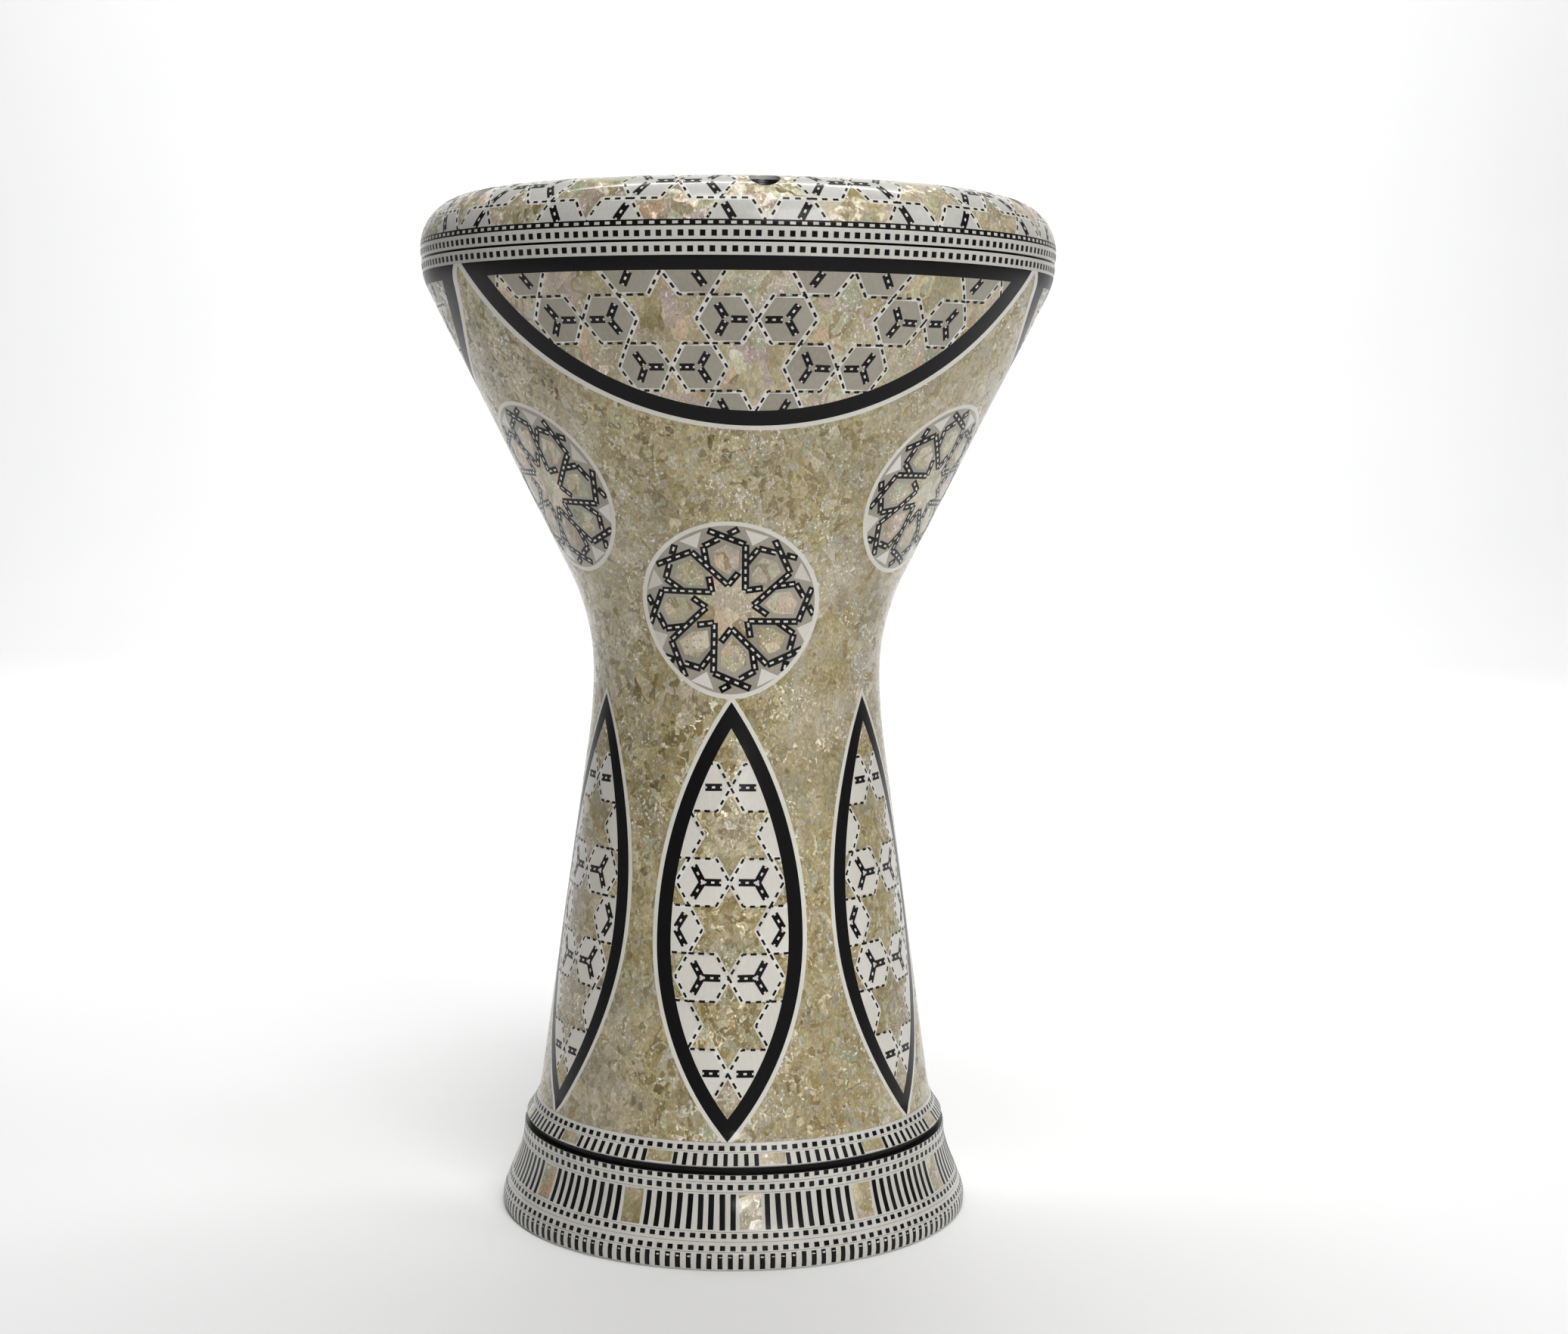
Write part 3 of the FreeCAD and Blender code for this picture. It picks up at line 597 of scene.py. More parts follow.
def resin(name, base, shade, light, mottle=0.5, **finish):
    """Ivory, grey or black strip: a slightly uneven colour with a faint grain, lacquered."""
    nodes = Nodes(name)
    cloud = nodes.noise(35.0, 3.0, 0.6)
    grain = nodes.noise(900.0, 2.0, 0.6, nodes.mapping((1.0, 1.0, 0.35)))
    base, shade, light = srgb(*base), srgb(*shade), srgb(*light)
    tint = nodes.add("Attribute", attribute_name="tint").outputs["Fac"]
    tone = nodes.ramp(tint, [(0.0, shade), (0.5, base), (1.0, light)])
    tone = nodes.stain(tone, cloud, 0.35, 0.7, mottle, shade)
    tone = nodes.stain(tone, grain, 0.45, 0.75, mottle * 0.6, light)
    gloss = nodes.span(cloud, 0.3, 0.7, 0.28, 0.4)
    wave = nodes.bump(nodes.noise(60.0, 2.0), 0.12, 0.0008)
    lacquer(nodes, Base_Color=tone, Roughness=gloss, Normal=wave, **finish)
    return nodes.material


def metal(name, base, shade, roughness, grain, depth, lathe=0.0):
    """Cast or turned metal: mottled tone, uneven gloss, and turning marks if lathe is set."""
    nodes = Nodes(name)
    cloud = nodes.noise(45.0, 4.0, 0.6)
    fine = nodes.noise(grain, 3.0, 0.7)
    tone = nodes.stain(base, cloud, 0.35, 0.7, 1.0, shade)
    tone = nodes.stain(tone, fine, 0.5, 0.8, 0.5, shade)
    height = fine
    if lathe:
        flat = nodes.vector("MULTIPLY", nodes.place, (1.0, 1.0, 0.0))[0]
        height = nodes.add("SeparateXYZ", {0: nodes.place}).outputs[2]
        turned = nodes.math("ADD", nodes.vector("LENGTH", flat)["Value"], height)
        rings = nodes.math("SINE", nodes.math("MULTIPLY", turned, lathe))
        height = nodes.math("ADD", fine, nodes.math("MULTIPLY", rings, 0.35))
    gloss = nodes.span(cloud, 0.3, 0.7, roughness, roughness + 0.14)
    nodes.set(Base_Color=tone, Metallic=1.0, Roughness=gloss,
              Normal=nodes.bump(height, 0.35, depth))
    return nodes.material


def frosted_film(name):
    """Frosted polyester: milky, a little light through it, faint cloud and playing marks."""
    nodes = Nodes(name)
    cloud = nodes.noise(28.0, 4.0, 0.6)
    scuff = nodes.noise(160.0, 4.0, 0.75, nodes.mapping((1.0, 0.3, 1.0)))
    tone = nodes.ramp(cloud, stops((0.35, 206, 204, 196), (0.65, 226, 225, 219)))
    tone = nodes.stain(tone, scuff, 0.6, 0.8, 0.35, srgb(186, 183, 172))
    gloss = nodes.span(scuff, 0.4, 0.7, 0.38, 0.56)
    nodes.set(Base_Color=tone, Roughness=gloss, Transmission_Weight=0.22, IOR=1.5,
              Normal=nodes.bump(nodes.noise(1200.0, 2.0), 0.15, 0.0002))
    return nodes.material


def stops(*rows):
    """Stops of a ramp from (place, red, green, blue)."""
    return [(at, srgb(*colour)) for at, *colour in rows]


PEARL_TONES = stops(
    (0.00, 147, 133, 91), (0.16, 159, 145, 102), (0.30, 172, 161, 121),
    (0.44, 185, 176, 142), (0.55, 164, 150, 106), (0.66, 191, 182, 152),
    (0.76, 174, 162, 135), (0.84, 180, 176, 167), (0.92, 169, 172, 147),
    (1.00, 206, 199, 185))
CHUNK_TONES = stops(
    (0.00, 158, 142, 108), (0.14, 182, 171, 136), (0.28, 199, 194, 177),
    (0.42, 174, 164, 130), (0.54, 191, 176, 182), (0.64, 186, 177, 146),
    (0.74, 174, 183, 163), (0.84, 208, 203, 187), (0.92, 195, 171, 149),
    (1.00, 219, 216, 209))

PEARL = crushed_pearl("crushed_pearl", 0.0030, PEARL_TONES, 0.8, 0.45)
CHUNK = crushed_pearl("pearl_flakes", 0.0072, CHUNK_TONES, 0.65, 0.35)
TILE = crushed_pearl("pearl_tiles", 0.0085, CHUNK_TONES, 0.45, 0.25)
IVORY = resin("ivory_strip", (203, 201, 194), (181, 178, 168), (216, 215, 210))
PIPING = resin("ivory_piping", (216, 214, 204), (196, 193, 180), (228, 227, 222))
PALE = resin("pale_ivory", (213, 209, 200), (198, 194, 184), (224, 221, 214))
# grey ivory of the half-moons and medallions, darker than the same grey ivory in the lenses
# (pale_ivory): partly a real grey, partly painted shade for these downward-facing panels
GREY_WITH_PAINTED_SHADE = resin("grey_ivory", (158, 152, 137), (136, 130, 116), (180, 175, 163))
LIGHT = resin("ring_ivory", (196, 195, 189), (172, 170, 163), (214, 213, 208))
BLACK = resin("black_resin", (20, 20, 20), (12, 12, 12), (32, 32, 32), 0.3,
              Coat_Weight=0.18, Specular_IOR_Level=0.08)
GROUT = resin("joint_line", (128, 118, 100), (104, 94, 76), (150, 142, 126))
CAST = metal("cast_metal", (0.62, 0.62, 0.61), (0.44, 0.44, 0.43), 0.42, 260.0, 0.0009)
# near-black ring metal: painted shade, so that the counterbores and the seam gap read dark
RING_METAL_DARKENED = metal("ring_metal", (0.11, 0.11, 0.11), (0.07, 0.07, 0.07), 0.28, 900.0, 0.0002, 9000.0)
HOOP = metal("hoop_metal", (0.74, 0.74, 0.74), (0.60, 0.60, 0.60), 0.30, 700.0, 0.0002, 7000.0)
BRASS = metal("insert_metal", (0.72, 0.55, 0.26), (0.52, 0.38, 0.17), 0.26, 600.0, 0.0002, 6000.0)
STEEL = metal("bolt_steel", (0.09, 0.09, 0.095), (0.045, 0.045, 0.05), 0.34, 1500.0, 0.0002)
FILM = frosted_film("film")

# what a piece is made of: its slot in the record and its material
BLACK_STRIP, IVORY_STRIP = ("black_resin", BLACK), ("ivory_strip", IVORY)
IVORY_PIPING = "ivory_piping", PIPING


# ---- foot, bead and seam

def plain_strip(stem, kind, side, *heights):
    """The ivory strip a row of tiles is set in, or a black line, between two heights."""
    strip = Pieces(f"{stem}_{kind}", BLACK_STRIP if kind == "line" else IVORY_STRIP,
                   f"{stem}_band")
    strip.add_band(side, *map(side.run_at, heights))
    strip.finish()


def tile_rows(name, made_of, rows, *replaces, rise=0.05):
    """Rows of equal upright tiles right round the drum, with a little play in each. A row is
    (side, count, first azimuth, low height, high height, width)."""
    pieces = Pieces(name, made_of, *replaces)
    for side, count, first, *heights, width in rows:
        low, high = map(side.run_at, heights)
        for azimuth in spaced(first, count):
            sway = CHANCE.uniform(-0.12, 0.12)
            tall = (high - low) * CHANCE.uniform(0.96, 1.0)
            wide = width * CHANCE.uniform(0.94, 1.04)
            layout = Layout(side, azimuth, (low + high) / 2.0)
            tile = rectangle(sway, CHANCE.uniform(-0.06, 0.06), wide, tall,
                             CHANCE.uniform(-1.0, 1.0))
            pieces.add_tile(layout, tile, rise, -0.4, CHANCE.random())
    pieces.finish()


CHANCE = random.Random(7)
PEARLS, PEARL_STEP, FOOT_PEARL_TURN, BEAD_PEARL_TURN = 12, 30.0, 5.2, 11.2

for row in (
        ("foot_edge", "strip", FOOT, 0.8, 8.0), ("foot_lower_check", "strip", FOOT, 8.0, 15.8),
        ("foot_bar", "strip", FOOT, 15.8, 31.0), ("foot_upper_check", "strip", FOOT, 31.0, 38.2),
        ("bead_bar", "strip", BODY, 41.8, 46.9), ("bead_check", "strip", BODY, 46.9, 50.7),
        ("shell_check", "strip", BODY, 417.4, 422.45), ("groove", "line", GROOVE, 38.2, 41.8)):
    plain_strip(*row)
# painted shadow: a black band on the flat ledge under the bead's lip, widening the black of the
# groove where the bead's shadow falls
ledge_shadow = Pieces("groove_ledge_shadow", BLACK_STRIP)
ledge_shadow.add_band(LEDGE, 0.0, LEDGE.length, 0.02, -0.3, 0.5)
ledge_shadow.finish()
plain_strip("ring_check", "strip", RING, RING_LOW, RING_CHECK_TOP)
plain_strip("ring_dotted", "line", RING, RING_CHECK_TOP, RING_DOT_TOP)

bars = [(side, 1, turn + PEARL_STEP * (sector + 0.5) + pitch * k, *tile)
        for sector in range(PEARLS) for k in range(-4, 5)
        for side, turn, pitch, *tile in ((FOOT, FOOT_PEARL_TURN, 2.694, 16.3, 30.4, 2.3),
                                         (BODY, BEAD_PEARL_TURN, 2.68, 41.9, 46.35, 1.9))]
tile_rows("foot_black_tiles", BLACK_STRIP, [
    (FOOT, 148, 0.4, 0.95, 7.4, 2.15), (FOOT, 146, 1.0, 8.5, 10.45, 2.3),
    (FOOT, 146, 1.2, 13.2, 15.1, 2.3), (FOOT, 137, 0.2, 32.0, 34.3, 2.3),
    (FOOT, 133, 0.9, 36.3, 38.15, 2.3), (BODY, 127, 0.6, 47.4, 49.3, 2.4), *bars])
tile_rows("shell_seam_tiles", BLACK_STRIP, [(BODY, 199, 0.5, 418.6, 421.0, 2.3)])
tile_rows("ring_seam_tiles", BLACK_STRIP, [(RING, 201, 0.7, 424.6, 427.0, 2.25)])
tile_rows("ring_seam_dots", IVORY_STRIP, [(RING, 191, 0.3, 429.3, 430.45, 2.2)])
tile_rows("foot_pearls", ("pearl_tile", TILE),
          [(FOOT, PEARLS, FOOT_PEARL_TURN, 16.5, 30.3, 9.2)], "foot_pearl_tiles", rise=0.06)
tile_rows("bead_pearls", ("pearl_tile", TILE),
          [(BODY, PEARLS, BEAD_PEARL_TURN, 42.4, 46.4, 11.4)], "bead_pearl_tiles", rise=0.06)

joints = Pieces("strip_joint_lines", ("ivory_strip", GROUT))
for side, heights in (FOOT, (8.0, 11.9, 15.75, 31.0, 35.2)), (BODY, (46.85, 50.6)):
    for run in map(side.run_at, heights):
        joints.add_band(side, run - 0.09, run + 0.09, 0.02, -0.2, 0.2)
joints.finish()


# ---- outlines of the panels

LENS_HALF, LENS_MIDDLE, LENS_UPPER, LENS_LOWER = 31.1, 133.2, 182.0, 125.0
MOON_LOW, MOON_BEND, MOON_BAR, MOON_REACH = 351.7, 139.9, 411.75, 430.0
FRAME, PIPE, BORDER = 6.0, 1.8, 1.9
LENS_WINDOW, MOON_WINDOW, MEDALLION_WINDOW = 40.0, 60.0, 55.0    # degrees either way
FIELD_LOW, FIELD_HIGH, FIELD_JOIN = 50.7, 417.4, 213.0
ARC_STEP = 1.3
BOLTS, BOLT_CIRCLE, BOLT_TURN, BOLT_HOLE = 6, 126.0, 5.6, 6.25


def from_front(corners, turn):
    """Points seen square from the front, x across and z up, as (azimuth, run) on the body."""
    corners = np.asarray(corners)
    run = np.interp(corners[:, 1], BODY.z, BODY.s)
    reach = np.clip(corners[:, 0] / BODY.radius_at(run), -1.0, 1.0)
    return np.stack([turn + np.degrees(np.arcsin(reach)), run], axis=1)


def arc_points(centre, bend, first, last):
    """Points of an arc by its angles, without its last point."""
    count = max(3, int(abs(last - first) * bend / ARC_STEP))
    angles = [first + (last - first) * k / count for k in range(count)]
    return [(centre[0] + bend * cos(a), centre[1] + bend * sin(a)) for a in angles]


def lens_loop(turn, inset):
    """Pointed oval, inset mm inside the frame's outer edge."""
    low_bend, high_bend = LENS_LOWER - inset, LENS_UPPER - inset
    low_centre, high_centre = LENS_LOWER - LENS_HALF, LENS_UPPER - LENS_HALF
    right = arc_points((-low_centre, LENS_MIDDLE), low_bend, -acos(low_centre / low_bend), 0.0)
    right += arc_points((-high_centre, LENS_MIDDLE), high_bend, 0.0, acos(high_centre / high_bend))
    top = LENS_MIDDLE + sqrt(high_bend ** 2 - high_centre ** 2)
    return from_front(right + [(0.0, top)] + [(-x, z) for x, z in right[:0:-1]], turn)


def moon_loop(turn, inset, top=MOON_REACH):
    """Half-moon, inset mm inside the frame's outer edge, with its straight side at top."""
    bend = MOON_BEND - inset
    drop = MOON_LOW + MOON_BEND - top
    half = acos(drop / bend)
    right = sqrt(bend ** 2 - drop ** 2)
    hang = arc_points((0.0, MOON_LOW + MOON_BEND), bend, -pi / 2 - half, -pi / 2 + half)
    bar = [(right - 2.0 * right * k / 120, top) for k in range(120)]
    return from_front(hang + bar, turn)


@dataclass
class Medallion:
    """An elliptical tool square to the bowl, and where it meets the bowl's surface."""

    turn: float
    radius: float
    height: float
    tilt: float
    half_height: float
    half_width: float

    def pierce(self, across, up):
        """(azimuth, run) where lines across and up from the tool's axis meet the body."""
        c, s = unit(self.tilt)
        out, level = self.radius + up * s, self.height + up * c
        depth = np.zeros_like(across)
        for _ in range(25):
            reach = np.hypot(out - depth * c, across)
            depth += 0.8 * (reach - np.interp(level + depth * s, BODY.z, BODY.r))
        azimuth = np.degrees(np.arctan2(across, out - depth * c))
        height = level + depth * s
        return np.stack([self.turn + azimuth, np.interp(height, BODY.z, BODY.s)], axis=1)

    def loop(self, inset):
        angle = np.linspace(0.0, 2.0 * pi, 180, endpoint=False)
        return self.pierce((self.half_width - inset) * np.cos(angle),
                           (self.half_height - inset) * np.sin(angle))

    def centre(self):
        return self.pierce(np.zeros(1), np.zeros(1))[0]


def bolt_loop(turn):
    """Edge of one counterbore in the ring's mosaic."""
    angle = np.linspace(0.0, 2.0 * pi, 60, endpoint=False)
    across = BOLT_HOLE * np.sin(angle)
    out = BOLT_CIRCLE + BOLT_HOLE * np.cos(angle)
    azimuth = turn + np.degrees(np.arctan2(across, out))
    return np.stack([azimuth, RING.run_on_top(np.hypot(across, out))], axis=1)


def turned(loops):
    """The loops and their copies a whole turn either way."""
    return [loop + (shift, 0.0) for loop in loops for shift in (-FULL_TURN, 0.0, FULL_TURN)]


LENSES, MOONS = spaced(-0.8, 6), spaced(4.5, 3)
LOWER = [Medallion(turn, 75.8, 274.4, 16.3, 39.8, 37.5) for turn in spaced(-1.4, 3)]
UPPER = [Medallion(turn, 93.7, 325.5, 26.65, 40.6, 38.9) for turn in spaced(61.8, 3)]
field_low, field_high = map(BODY.run_at, (FIELD_LOW, FIELD_HIGH))
low_rims, high_rims = (turned([medallion.loop(0.0) for medallion in group])
                       for group in (LOWER, UPPER))


def window(turn, half):
    return turn - half, turn + half, field_low, field_high


# ---- field, frames, piping

field = Pieces("pearl_skin", ("crushed_pearl", PEARL), "pearl_field")
gaps = [lens_loop(turn, -PIPE) for turn in LENSES]
gaps += [moon_loop(turn, -PIPE) for turn in MOONS]
field.add_region(BODY, [], turned(gaps) + low_rims + high_rims,
                 window(FIELD_JOIN, FULL_TURN / 2.0))
field.finish()


def edge_panels(kind, turns, outline, half, inner, low_holes=()):
    """Black frames and ivory piping of one kind of panel. Outline gives a loop for a turn and
    an inset, and inner the loop inside the frame."""
    frames = Pieces(f"{kind}_black_frames", BLACK_STRIP, f"{kind}_frames")
    piping = Pieces(f"{kind}_ivory_piping", IVORY_PIPING, f"{kind}_piping")
    for turn in turns:
        frames.add_region(BODY, [outline(turn, 0.0)], [inner(turn)], window(turn, half), top=0.02)
        piping.add_region(BODY, [outline(turn, -PIPE)], [outline(turn, 0.0), *low_holes],
                          window(turn, half), top=0.04)
    frames.finish()
    piping.finish()


def lens_inside(turn):
    return lens_loop(turn, FRAME)


def moon_inside(turn):
    return moon_loop(turn, FRAME, MOON_BAR)


edge_panels("lens", LENSES, lens_loop, LENS_WINDOW, lens_inside, low_rims)
edge_panels("half_moon", MOONS, moon_loop, MOON_WINDOW, moon_inside)


# ---- star and hexagon mosaic

class Inlay:
    """Sets of pieces, laid on one layout at a time and trimmed to its fence."""

    fine = 3.0
    holes = ()

    def finish(self):
        for pieces in self.sets:
            pieces.finish()

    def lay(self, pieces, polygon, top, tint=None):
        tint = CHANCE.random() if tint is None else tint
        polygon = self.fence.trim(polygon)
        if len(polygon) < 3:
            return
        if self.holes:
            loop = self.layout.place(split_edges(polygon, self.fine))
            low, high = extent(loop)
            cut = [hole for hole in self.holes
                   if (hole.max(axis=0) > low).all() and (hole.min(axis=0) < high).all()]
            if cut:
                pieces.add_region(self.layout.side, [loop], cut,
                                  (low[0], high[0], low[1], high[1]),
                                  top, -TILE_DEPTH, tint, 1.2, 1.2)
                return
        pieces.add_tile(self.layout, polygon, top, -TILE_DEPTH, tint, self.fine)


class Mosaic(Inlay):
    """The sets of pieces that one kind of star panel is made of."""

    STRIP, DASH, DASHES = 2.2, (2.4, 1.02), 16
    ARM, WINDOW, NOTCH = 3.15, (1.4, 0.85), 0.7
    WHOLE = 0.6               # an arm with less than this share inside the panel is left out

    def __init__(self, name, base, slot, star, node, arms, fine=3.6, holes=()):
        self.sets = self.base, self.stars, self.strips, self.black, self.white = [
            Pieces(f"{name}_{part}", (slot, material), *nodes) for part, material, *nodes in (
                ("grey_tiles", base, node), ("pearl_stars", star), ("ivory_strips", PIPING),
                ("black_dashes", BLACK), ("ivory_windows", PIPING))]
        self.fine, self.holes = fine, holes
        self.arms = arms          # where the first arm and the others start, and their length

    def star(self, x, y):
        radii = self.side, self.pitch / 2.0
        spokes = [polar(x, y, radii[k % 2], 30 * k) for k in range(12)]
        for k in range(0, 12, 2):
            self.lay(self.stars, [(x, y), *(spokes * 2)[k:k + 3]], 0.03)

    def hexagon(self, x, y, first_arm):
        corners = [polar(x, y, self.side, 60 * k) for k in range(6)]
        for a in range(first_arm // 60, first_arm // 60 + 6, 2):
            self.lay(self.base, [(x, y), *(corners * 2)[a:a + 3]], 0.015,
                     CHANCE.choice((0.4, 0.47, 0.54, 0.6)))
        for a, b in sides_of(corners):
            strip = rectangle((a[0] + b[0]) / 2, (a[1] + b[1]) / 2, self.side + 0.6,
                              self.STRIP, bearing(a, b))
            self.lay(self.strips, strip, 0.045 + 0.01 * CHANCE.random())
        self.dashes(corners)
        for k in range(3):
            self.arm(x, y, first_arm + 120.0 * k, self.arms[min(k, 1)])

    def dashes(self, corners):
        """Black dashes right round a hexagon, bending round its corners."""
        side = self.side
        step = 6.0 * side / self.DASHES
        phase = CHANCE.uniform(0.0, step)
        for k in range(self.DASHES):
            start = phase + step * k
            end = start + self.DASH[0] * CHANCE.uniform(0.85, 1.1)
            while start < end - 0.05:
                edge = int(start // side)
                stop = min(end, (edge + 1) * side)
                a, b = (corners * 2)[edge:edge + 2]
                middle = between(a, b, ((start + stop) / 2.0 - edge * side) / side)
                self.lay(self.black, rectangle(*middle, stop - start + 0.02, self.DASH[1],
                                               bearing(a, b)), 0.08)
                start = stop + 1e-6

    def arm(self, x, y, angle, start):
        """Black arm with a window in the middle and a notch at each end."""
        angle += CHANCE.uniform(-2.0, 2.0)
        start += CHANCE.uniform(-0.15, 0.15)
        length = self.arms[2] + CHANCE.uniform(-0.3, 0.3)
        middle = start + length / 2.0

        def bar(at, size, width):
            return rectangle(*polar(x, y, at, angle), size, width, angle)

        whole = bar(middle, length, self.ARM)
        kept = self.fence.trim(whole)
        if len(kept) < 3 or abs(polygon_area(kept)) < self.WHOLE * abs(polygon_area(whole)):
            return
        self.lay(self.black, whole, 0.065)
        self.lay(self.white, bar(middle, *self.WINDOW), 0.09)
        for at in (start + 0.4, start + length - 0.4):
            self.lay(self.white, bar(at, self.NOTCH, self.WINDOW[1]), 0.09)

    def cover(self, layout, fence, pitch, first_row):
        """Stars and hexagons all over the fence; a star stands at (0, first_row)."""
        self.layout, self.fence, self.pitch = layout, fence, pitch
        self.side = pitch / (2.0 * sqrt(3.0))
        low, high = fence.loop.min(axis=0), fence.loop.max(axis=0)
        column = pitch * cos(radians(30.0))
        reach = pitch / sqrt(3.0)
        for i in range(floor(low[0] / column) - 1, ceil(high[0] / column) + 2):
            offset = first_row + (i % 2) * pitch / 2.0
            for j in range(floor((low[1] - offset) / pitch) - 1,
                           ceil((high[1] - offset) / pitch) + 2):
                x, y = i * column, offset + j * pitch
                self.star(x, y)
                for way, arm in ((reach, 0), (-reach, 180)):
                    self.hexagon(x + way, y, arm)


def fill_panels(mosaic, turns, inner, half, layouts, pitch, first_row):
    """The mosaic inside every panel of one kind, with a layout for each."""
    for turn, layout in zip(turns, layouts):
        loop = inner(turn)
        mosaic.base.add_region(BODY, [loop], [], window(turn, half))
        mosaic.cover(layout, Fence(layout.unplace(loop)), pitch, first_row)
    mosaic.finish()


LENS_STAR, LENS_PITCH = 138.8, 40.3  # height of a star, and from star to star
MOON_STAR, MOON_PITCH, MOON_RADIUS = 393.3, 41.5, 127.4
fill_panels(Mosaic("lens", PALE, "grey_ivory", PEARL, "lens_mosaics", (0.8, 0.5, 7.4)),
            LENSES, lens_inside, LENS_WINDOW,
            [Layout(BODY, turn, BODY.run_at(LENS_STAR)) for turn in LENSES], LENS_PITCH, 0.0)
fill_panels(Mosaic("half_moon", GREY_WITH_PAINTED_SHADE, "grey_ivory", CHUNK, "half_moon_mosaics", (1.9, 0.8, 6.6)),
            MOONS, moon_inside, MOON_WINDOW,
            [Layout(BODY, turn - 0.1, BODY.run_at(MOON_STAR), MOON_RADIUS) for turn in MOONS],
            MOON_PITCH, MOON_PITCH / 2.0)

holes = turned([bolt_loop(turn) for turn in spaced(BOLT_TURN, BOLTS)])
crown = Mosaic("ring", LIGHT, "ring_ivory", CHUNK, "ring_mosaic", (2.6, 1.7, 7.7), 2.2, holes)
COLUMNS, MID_RADIUS, CROWN_ROW = 24, 137.9, -3.8
CROWN_JOIN = BOLT_TURN + 22.5  # azimuth where the ring's base is joined
column_width = 2.0 * pi * MID_RADIUS / COLUMNS
ring_low = RING.run_at(RING_DOT_TOP)
crown.base.add_region(RING, [], holes, (CROWN_JOIN, CROWN_JOIN + FULL_TURN, ring_low,
                                        RING.length), step_azimuth=1.5, step_run=1.6)
layout = Layout(RING, BOLT_TURN, RING.run_on_top(BOLT_CIRCLE), MID_RADIUS)
half_round = COLUMNS / 2 * column_width
edge = Fence([(way * half_round, run - layout.run) for way, run in (
    (-1, ring_low), (1, ring_low), (1, RING.length), (-1, RING.length))])
crown.cover(layout, edge, column_width / cos(radians(30.0)), CROWN_ROW)
crown.finish()


# ---- medallions

class Rosette(Inlay):
    """Round medallion: eight petals of interlaced strips round an eight-pointed star."""

    PETALS, TURN = 8, 3.5
    SWING = FULL_TURN / PETALS / 2.0
    POINT, TIP, CORNER = 10.0, 21.2, (8.9, 29.0)
    STRIP, GAP = 3.1, 0.45
    WINDOW, STEP = (1.9, 0.85), 4.15

    def __init__(self, level):
        self.sets = self.grey, self.border, self.pearl, self.pale, self.black, self.white = [
            Pieces(f"{level}_rosette{part}", made_of, *nodes) for part, made_of, *nodes in (
                ("s", ("grey_ivory", GREY_WITH_PAINTED_SHADE), f"{level}_medallions"),
                ("_borders", IVORY_PIPING, f"{level}_medallion_borders"),
                ("_pearls", ("crushed_pearl", TILE if level == "lower" else CHUNK)),
                ("_triangles", ("ivory_piping", PALE)),
                ("_strips", BLACK_STRIP), ("_windows", IVORY_PIPING))]

    def build(self, medallion):
        turn, run = medallion.centre()
        around = window(turn, MEDALLION_WINDOW)
        outside, inside = medallion.loop(0.0), medallion.loop(BORDER)
        self.border.add_region(BODY, [outside], [inside], around, top=0.05)
        self.grey.add_region(BODY, [inside], [], around)
        self.layout = Layout(BODY, turn, run, angle=self.TURN)
        self.fence = Fence(self.layout.unplace(inside))
        for angle in spaced(0.0, self.PETALS):
            self.petal(unit(angle))

    def petal(self, direction):
        """One petal, drawn pointing up and laid in its direction."""
        self.direction = direction
        c, s = unit(self.SWING)
        far_c, far_s = unit(2.0 * self.SWING)
        x, y = self.CORNER
        self.lay(self.pearl, [(0.0, 0.0), (self.POINT * far_s, self.POINT * far_c),
                              (self.TIP * s, self.TIP * c), (0.0, self.POINT)], 0.03)
        self.lay(self.grey, [(0.0, self.POINT), (8.1, 19.55), (x, y), (0.0, 33.3), (-x, y),
                             (-8.1, 19.55)], 0.02, CHANCE.choice((0.2, 0.4, 0.6)))
        patch = [(0.3, 14.8), (4.6, 19.2), (5.6, 26.6), (0.4, 29.0), (-5.2, 26.4), (-4.8, 19.6)]
        self.lay(self.pearl, [(u + CHANCE.uniform(-0.5, 0.5), v + CHANCE.uniform(-0.5, 0.5))
                              for u, v in patch], 0.035)
        self.lay(self.pale, [(u * c + v * s, v * c - u * s)
                             for u, v in ((-5.2, 36.8), (0.0, 30.6), (5.2, 36.8))], 0.04)
        for way, under, over in ((1.0, None, 0.575), (-1.0, 0.45, None)):
            self.strip((0.0, self.POINT), (-14.2 * way, 26.75), under)
            self.strip((-x * way, y), (6.5 * way, 36.5), over)

    def lay(self, pieces, polygon, top, tint=None):
        c, s = self.direction
        super().lay(pieces, [(x * c - y * s, x * s + y * c) for x, y in polygon], top, tint)

    def strip(self, start, end, crossing):
        """Black strip with windows, stopping short each side of a strip that crosses over."""
        size = hypot(end[0] - start[0], end[1] - start[1])
        half = (self.STRIP / 2.0 + self.GAP) / size * 1.15
        spans = [(0.0, 1.0)]
        if crossing is not None:
            spans = [(0.0, crossing - half), (crossing + half, 1.0)]

        def block(pieces, first, last, width, top):
            self.lay(pieces, rectangle(*between(start, end, (first + last) / 2.0),
                                       (last - first) * size, width, bearing(start, end)), top)

        for first, last in spans:
            block(self.black, first, last, self.STRIP, 0.065 + 0.01 * CHANCE.random())
        count = int((size - 1.0) / self.STEP) + 1
        reach = self.WINDOW[0] / 2.0 / size
        for k in range(count):
            middle = (k + 0.5) / count
            if any(first + reach < middle < last - reach for first, last in spans):
                block(self.white, middle - reach, middle + reach, self.WINDOW[1], 0.095)


for level, medallions in (("lower", LOWER), ("upper", UPPER)):
    rosette = Rosette(level)
    for medallion in medallions:
        rosette.build(medallion)
    rosette.finish()


# ---- CAD pieces that show

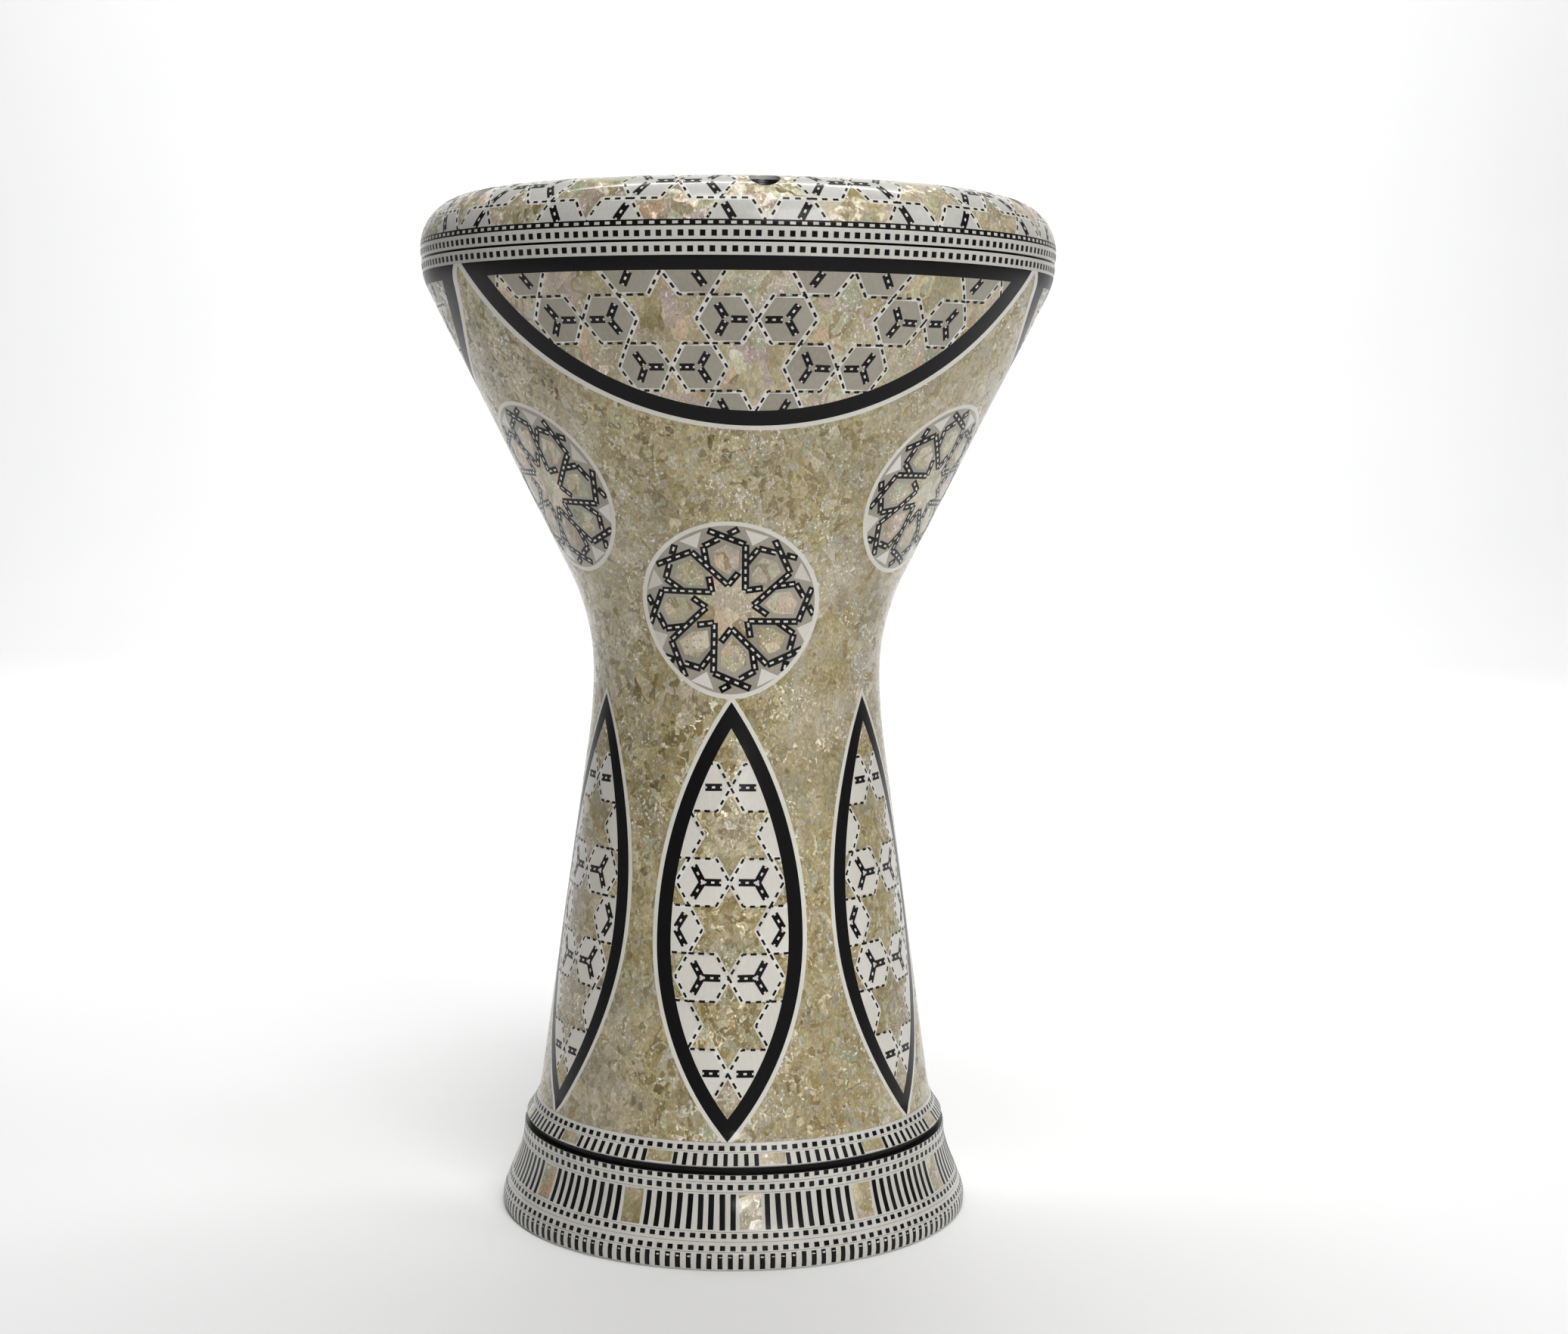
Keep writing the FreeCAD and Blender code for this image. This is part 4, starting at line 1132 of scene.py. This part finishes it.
FINISHES = {"shell": CAST, "thread_inserts": BRASS, "tension_ring": RING_METAL_DARKENED,
            "flesh_hoop": HOOP, "drum_head": FILM, "bolt_washers": STEEL}
for name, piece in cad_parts.items():
    finish = STEEL if name.startswith("tension_bolt") else FINISHES.get(name)
    if finish:
        piece.data.materials.clear()
        piece.data.materials.append(finish)


# ---- studio and camera, in metres

SWEEP_BACK, SWEEP_BEND, SWEEP_TOP, SWEEP_HALF = 2.6, 1.2, 5.0, 6.0
rail = [(-SWEEP_HALF, 0.0), (0.0, 0.0), (SWEEP_BACK, 0.0)]
rail += [(SWEEP_BACK + SWEEP_BEND * sin(radians(a)),
          SWEEP_BEND - SWEEP_BEND * cos(radians(a))) for a in range(5, 95, 5)]
rail.append((SWEEP_BACK + SWEEP_BEND, SWEEP_TOP))
paint = Nodes("floor")
cloud = paint.noise(3.0, 2.0)
paint.set(Base_Color=paint.stain((0.92,) * 3, cloud, 0.3, 0.7, 1.0, (0.9062,) * 3),
          Roughness=0.7, Specular_IOR_Level=0.2)
sheet = add_object("floor", smooth_mesh(
    "floor", [(x, y, z) for y, z in rail for x in (-SWEEP_HALF, SWEEP_HALF)],
    [(2 * k, 2 * k + 1, 2 * k + 3, 2 * k + 2) for k in range(len(rail) - 1)], paint.material))

MIDDLE, OPEN = (0.0, 0.0, 0.24), 180.0
for name, place, target, width, depth, power, spread in (
        ("key_light", (0.60, -1.50, 1.30), MIDDLE, 0.9, 0.8, 16.5, OPEN),
        ("top_light", (0.1, -0.6, 1.9), (0.0, 0.0, 0.44), 0.7, 0.5, 9.0, OPEN),
        ("shaft_light", (0.15, -1.7, 0.55), (0.0, 0.0, 0.13), 0.3, 0.3, 0.05, 16.0),
        ("right_light", (1.6, -0.7, 1.1), MIDDLE, 0.7, 1.4, 3.5, OPEN),
        ("left_light", (-1.7, -0.2, 0.8), MIDDLE, 0.7, 1.5, 0.5, OPEN),
        ("backdrop_light", (0.0, 0.9, 2.6), (0.0, 3.4, 0.6), 2.2, 0.8, 108.0, OPEN)):
    data = bpy.data.lights.new(name, "AREA")
    data.shape = "RECTANGLE"
    data.size, data.size_y = width, depth
    data.energy, data.spread = power, radians(spread)
    lamp = add_object(name, data)
    lamp.location = place
    lamp.rotation_euler = (Vector(target) - Vector(place)).to_track_quat("-Z", "Y").to_euler()

scene.world = bpy.data.worlds.new("studio")
scene.world.use_nodes = True
sky = scene.world.node_tree.nodes["Background"].inputs
sky["Color"].default_value = (0.93, 0.94, 0.96, 1.0)
sky["Strength"].default_value = 0.07
scene.view_settings.view_transform = "Standard"

EYE, LOOKING_DOWN, ROLL = (0.0213, -1.0887, 0.3468), 5.395, 0.41
view = bpy.data.cameras.new("camera")
view.sensor_width, view.lens, view.clip_end = 36.0, 55.64, 50.0
scene.camera = add_object("camera", view)
tip, roll = (Matrix.Rotation(radians(turn), 4, axis)
             for turn, axis in ((90.0 - LOOKING_DOWN, "X"), (ROLL, "Z")))
scene.camera.matrix_world = Matrix.Translation(EYE) @ tip @ roll

bpy.context.view_layer.update()
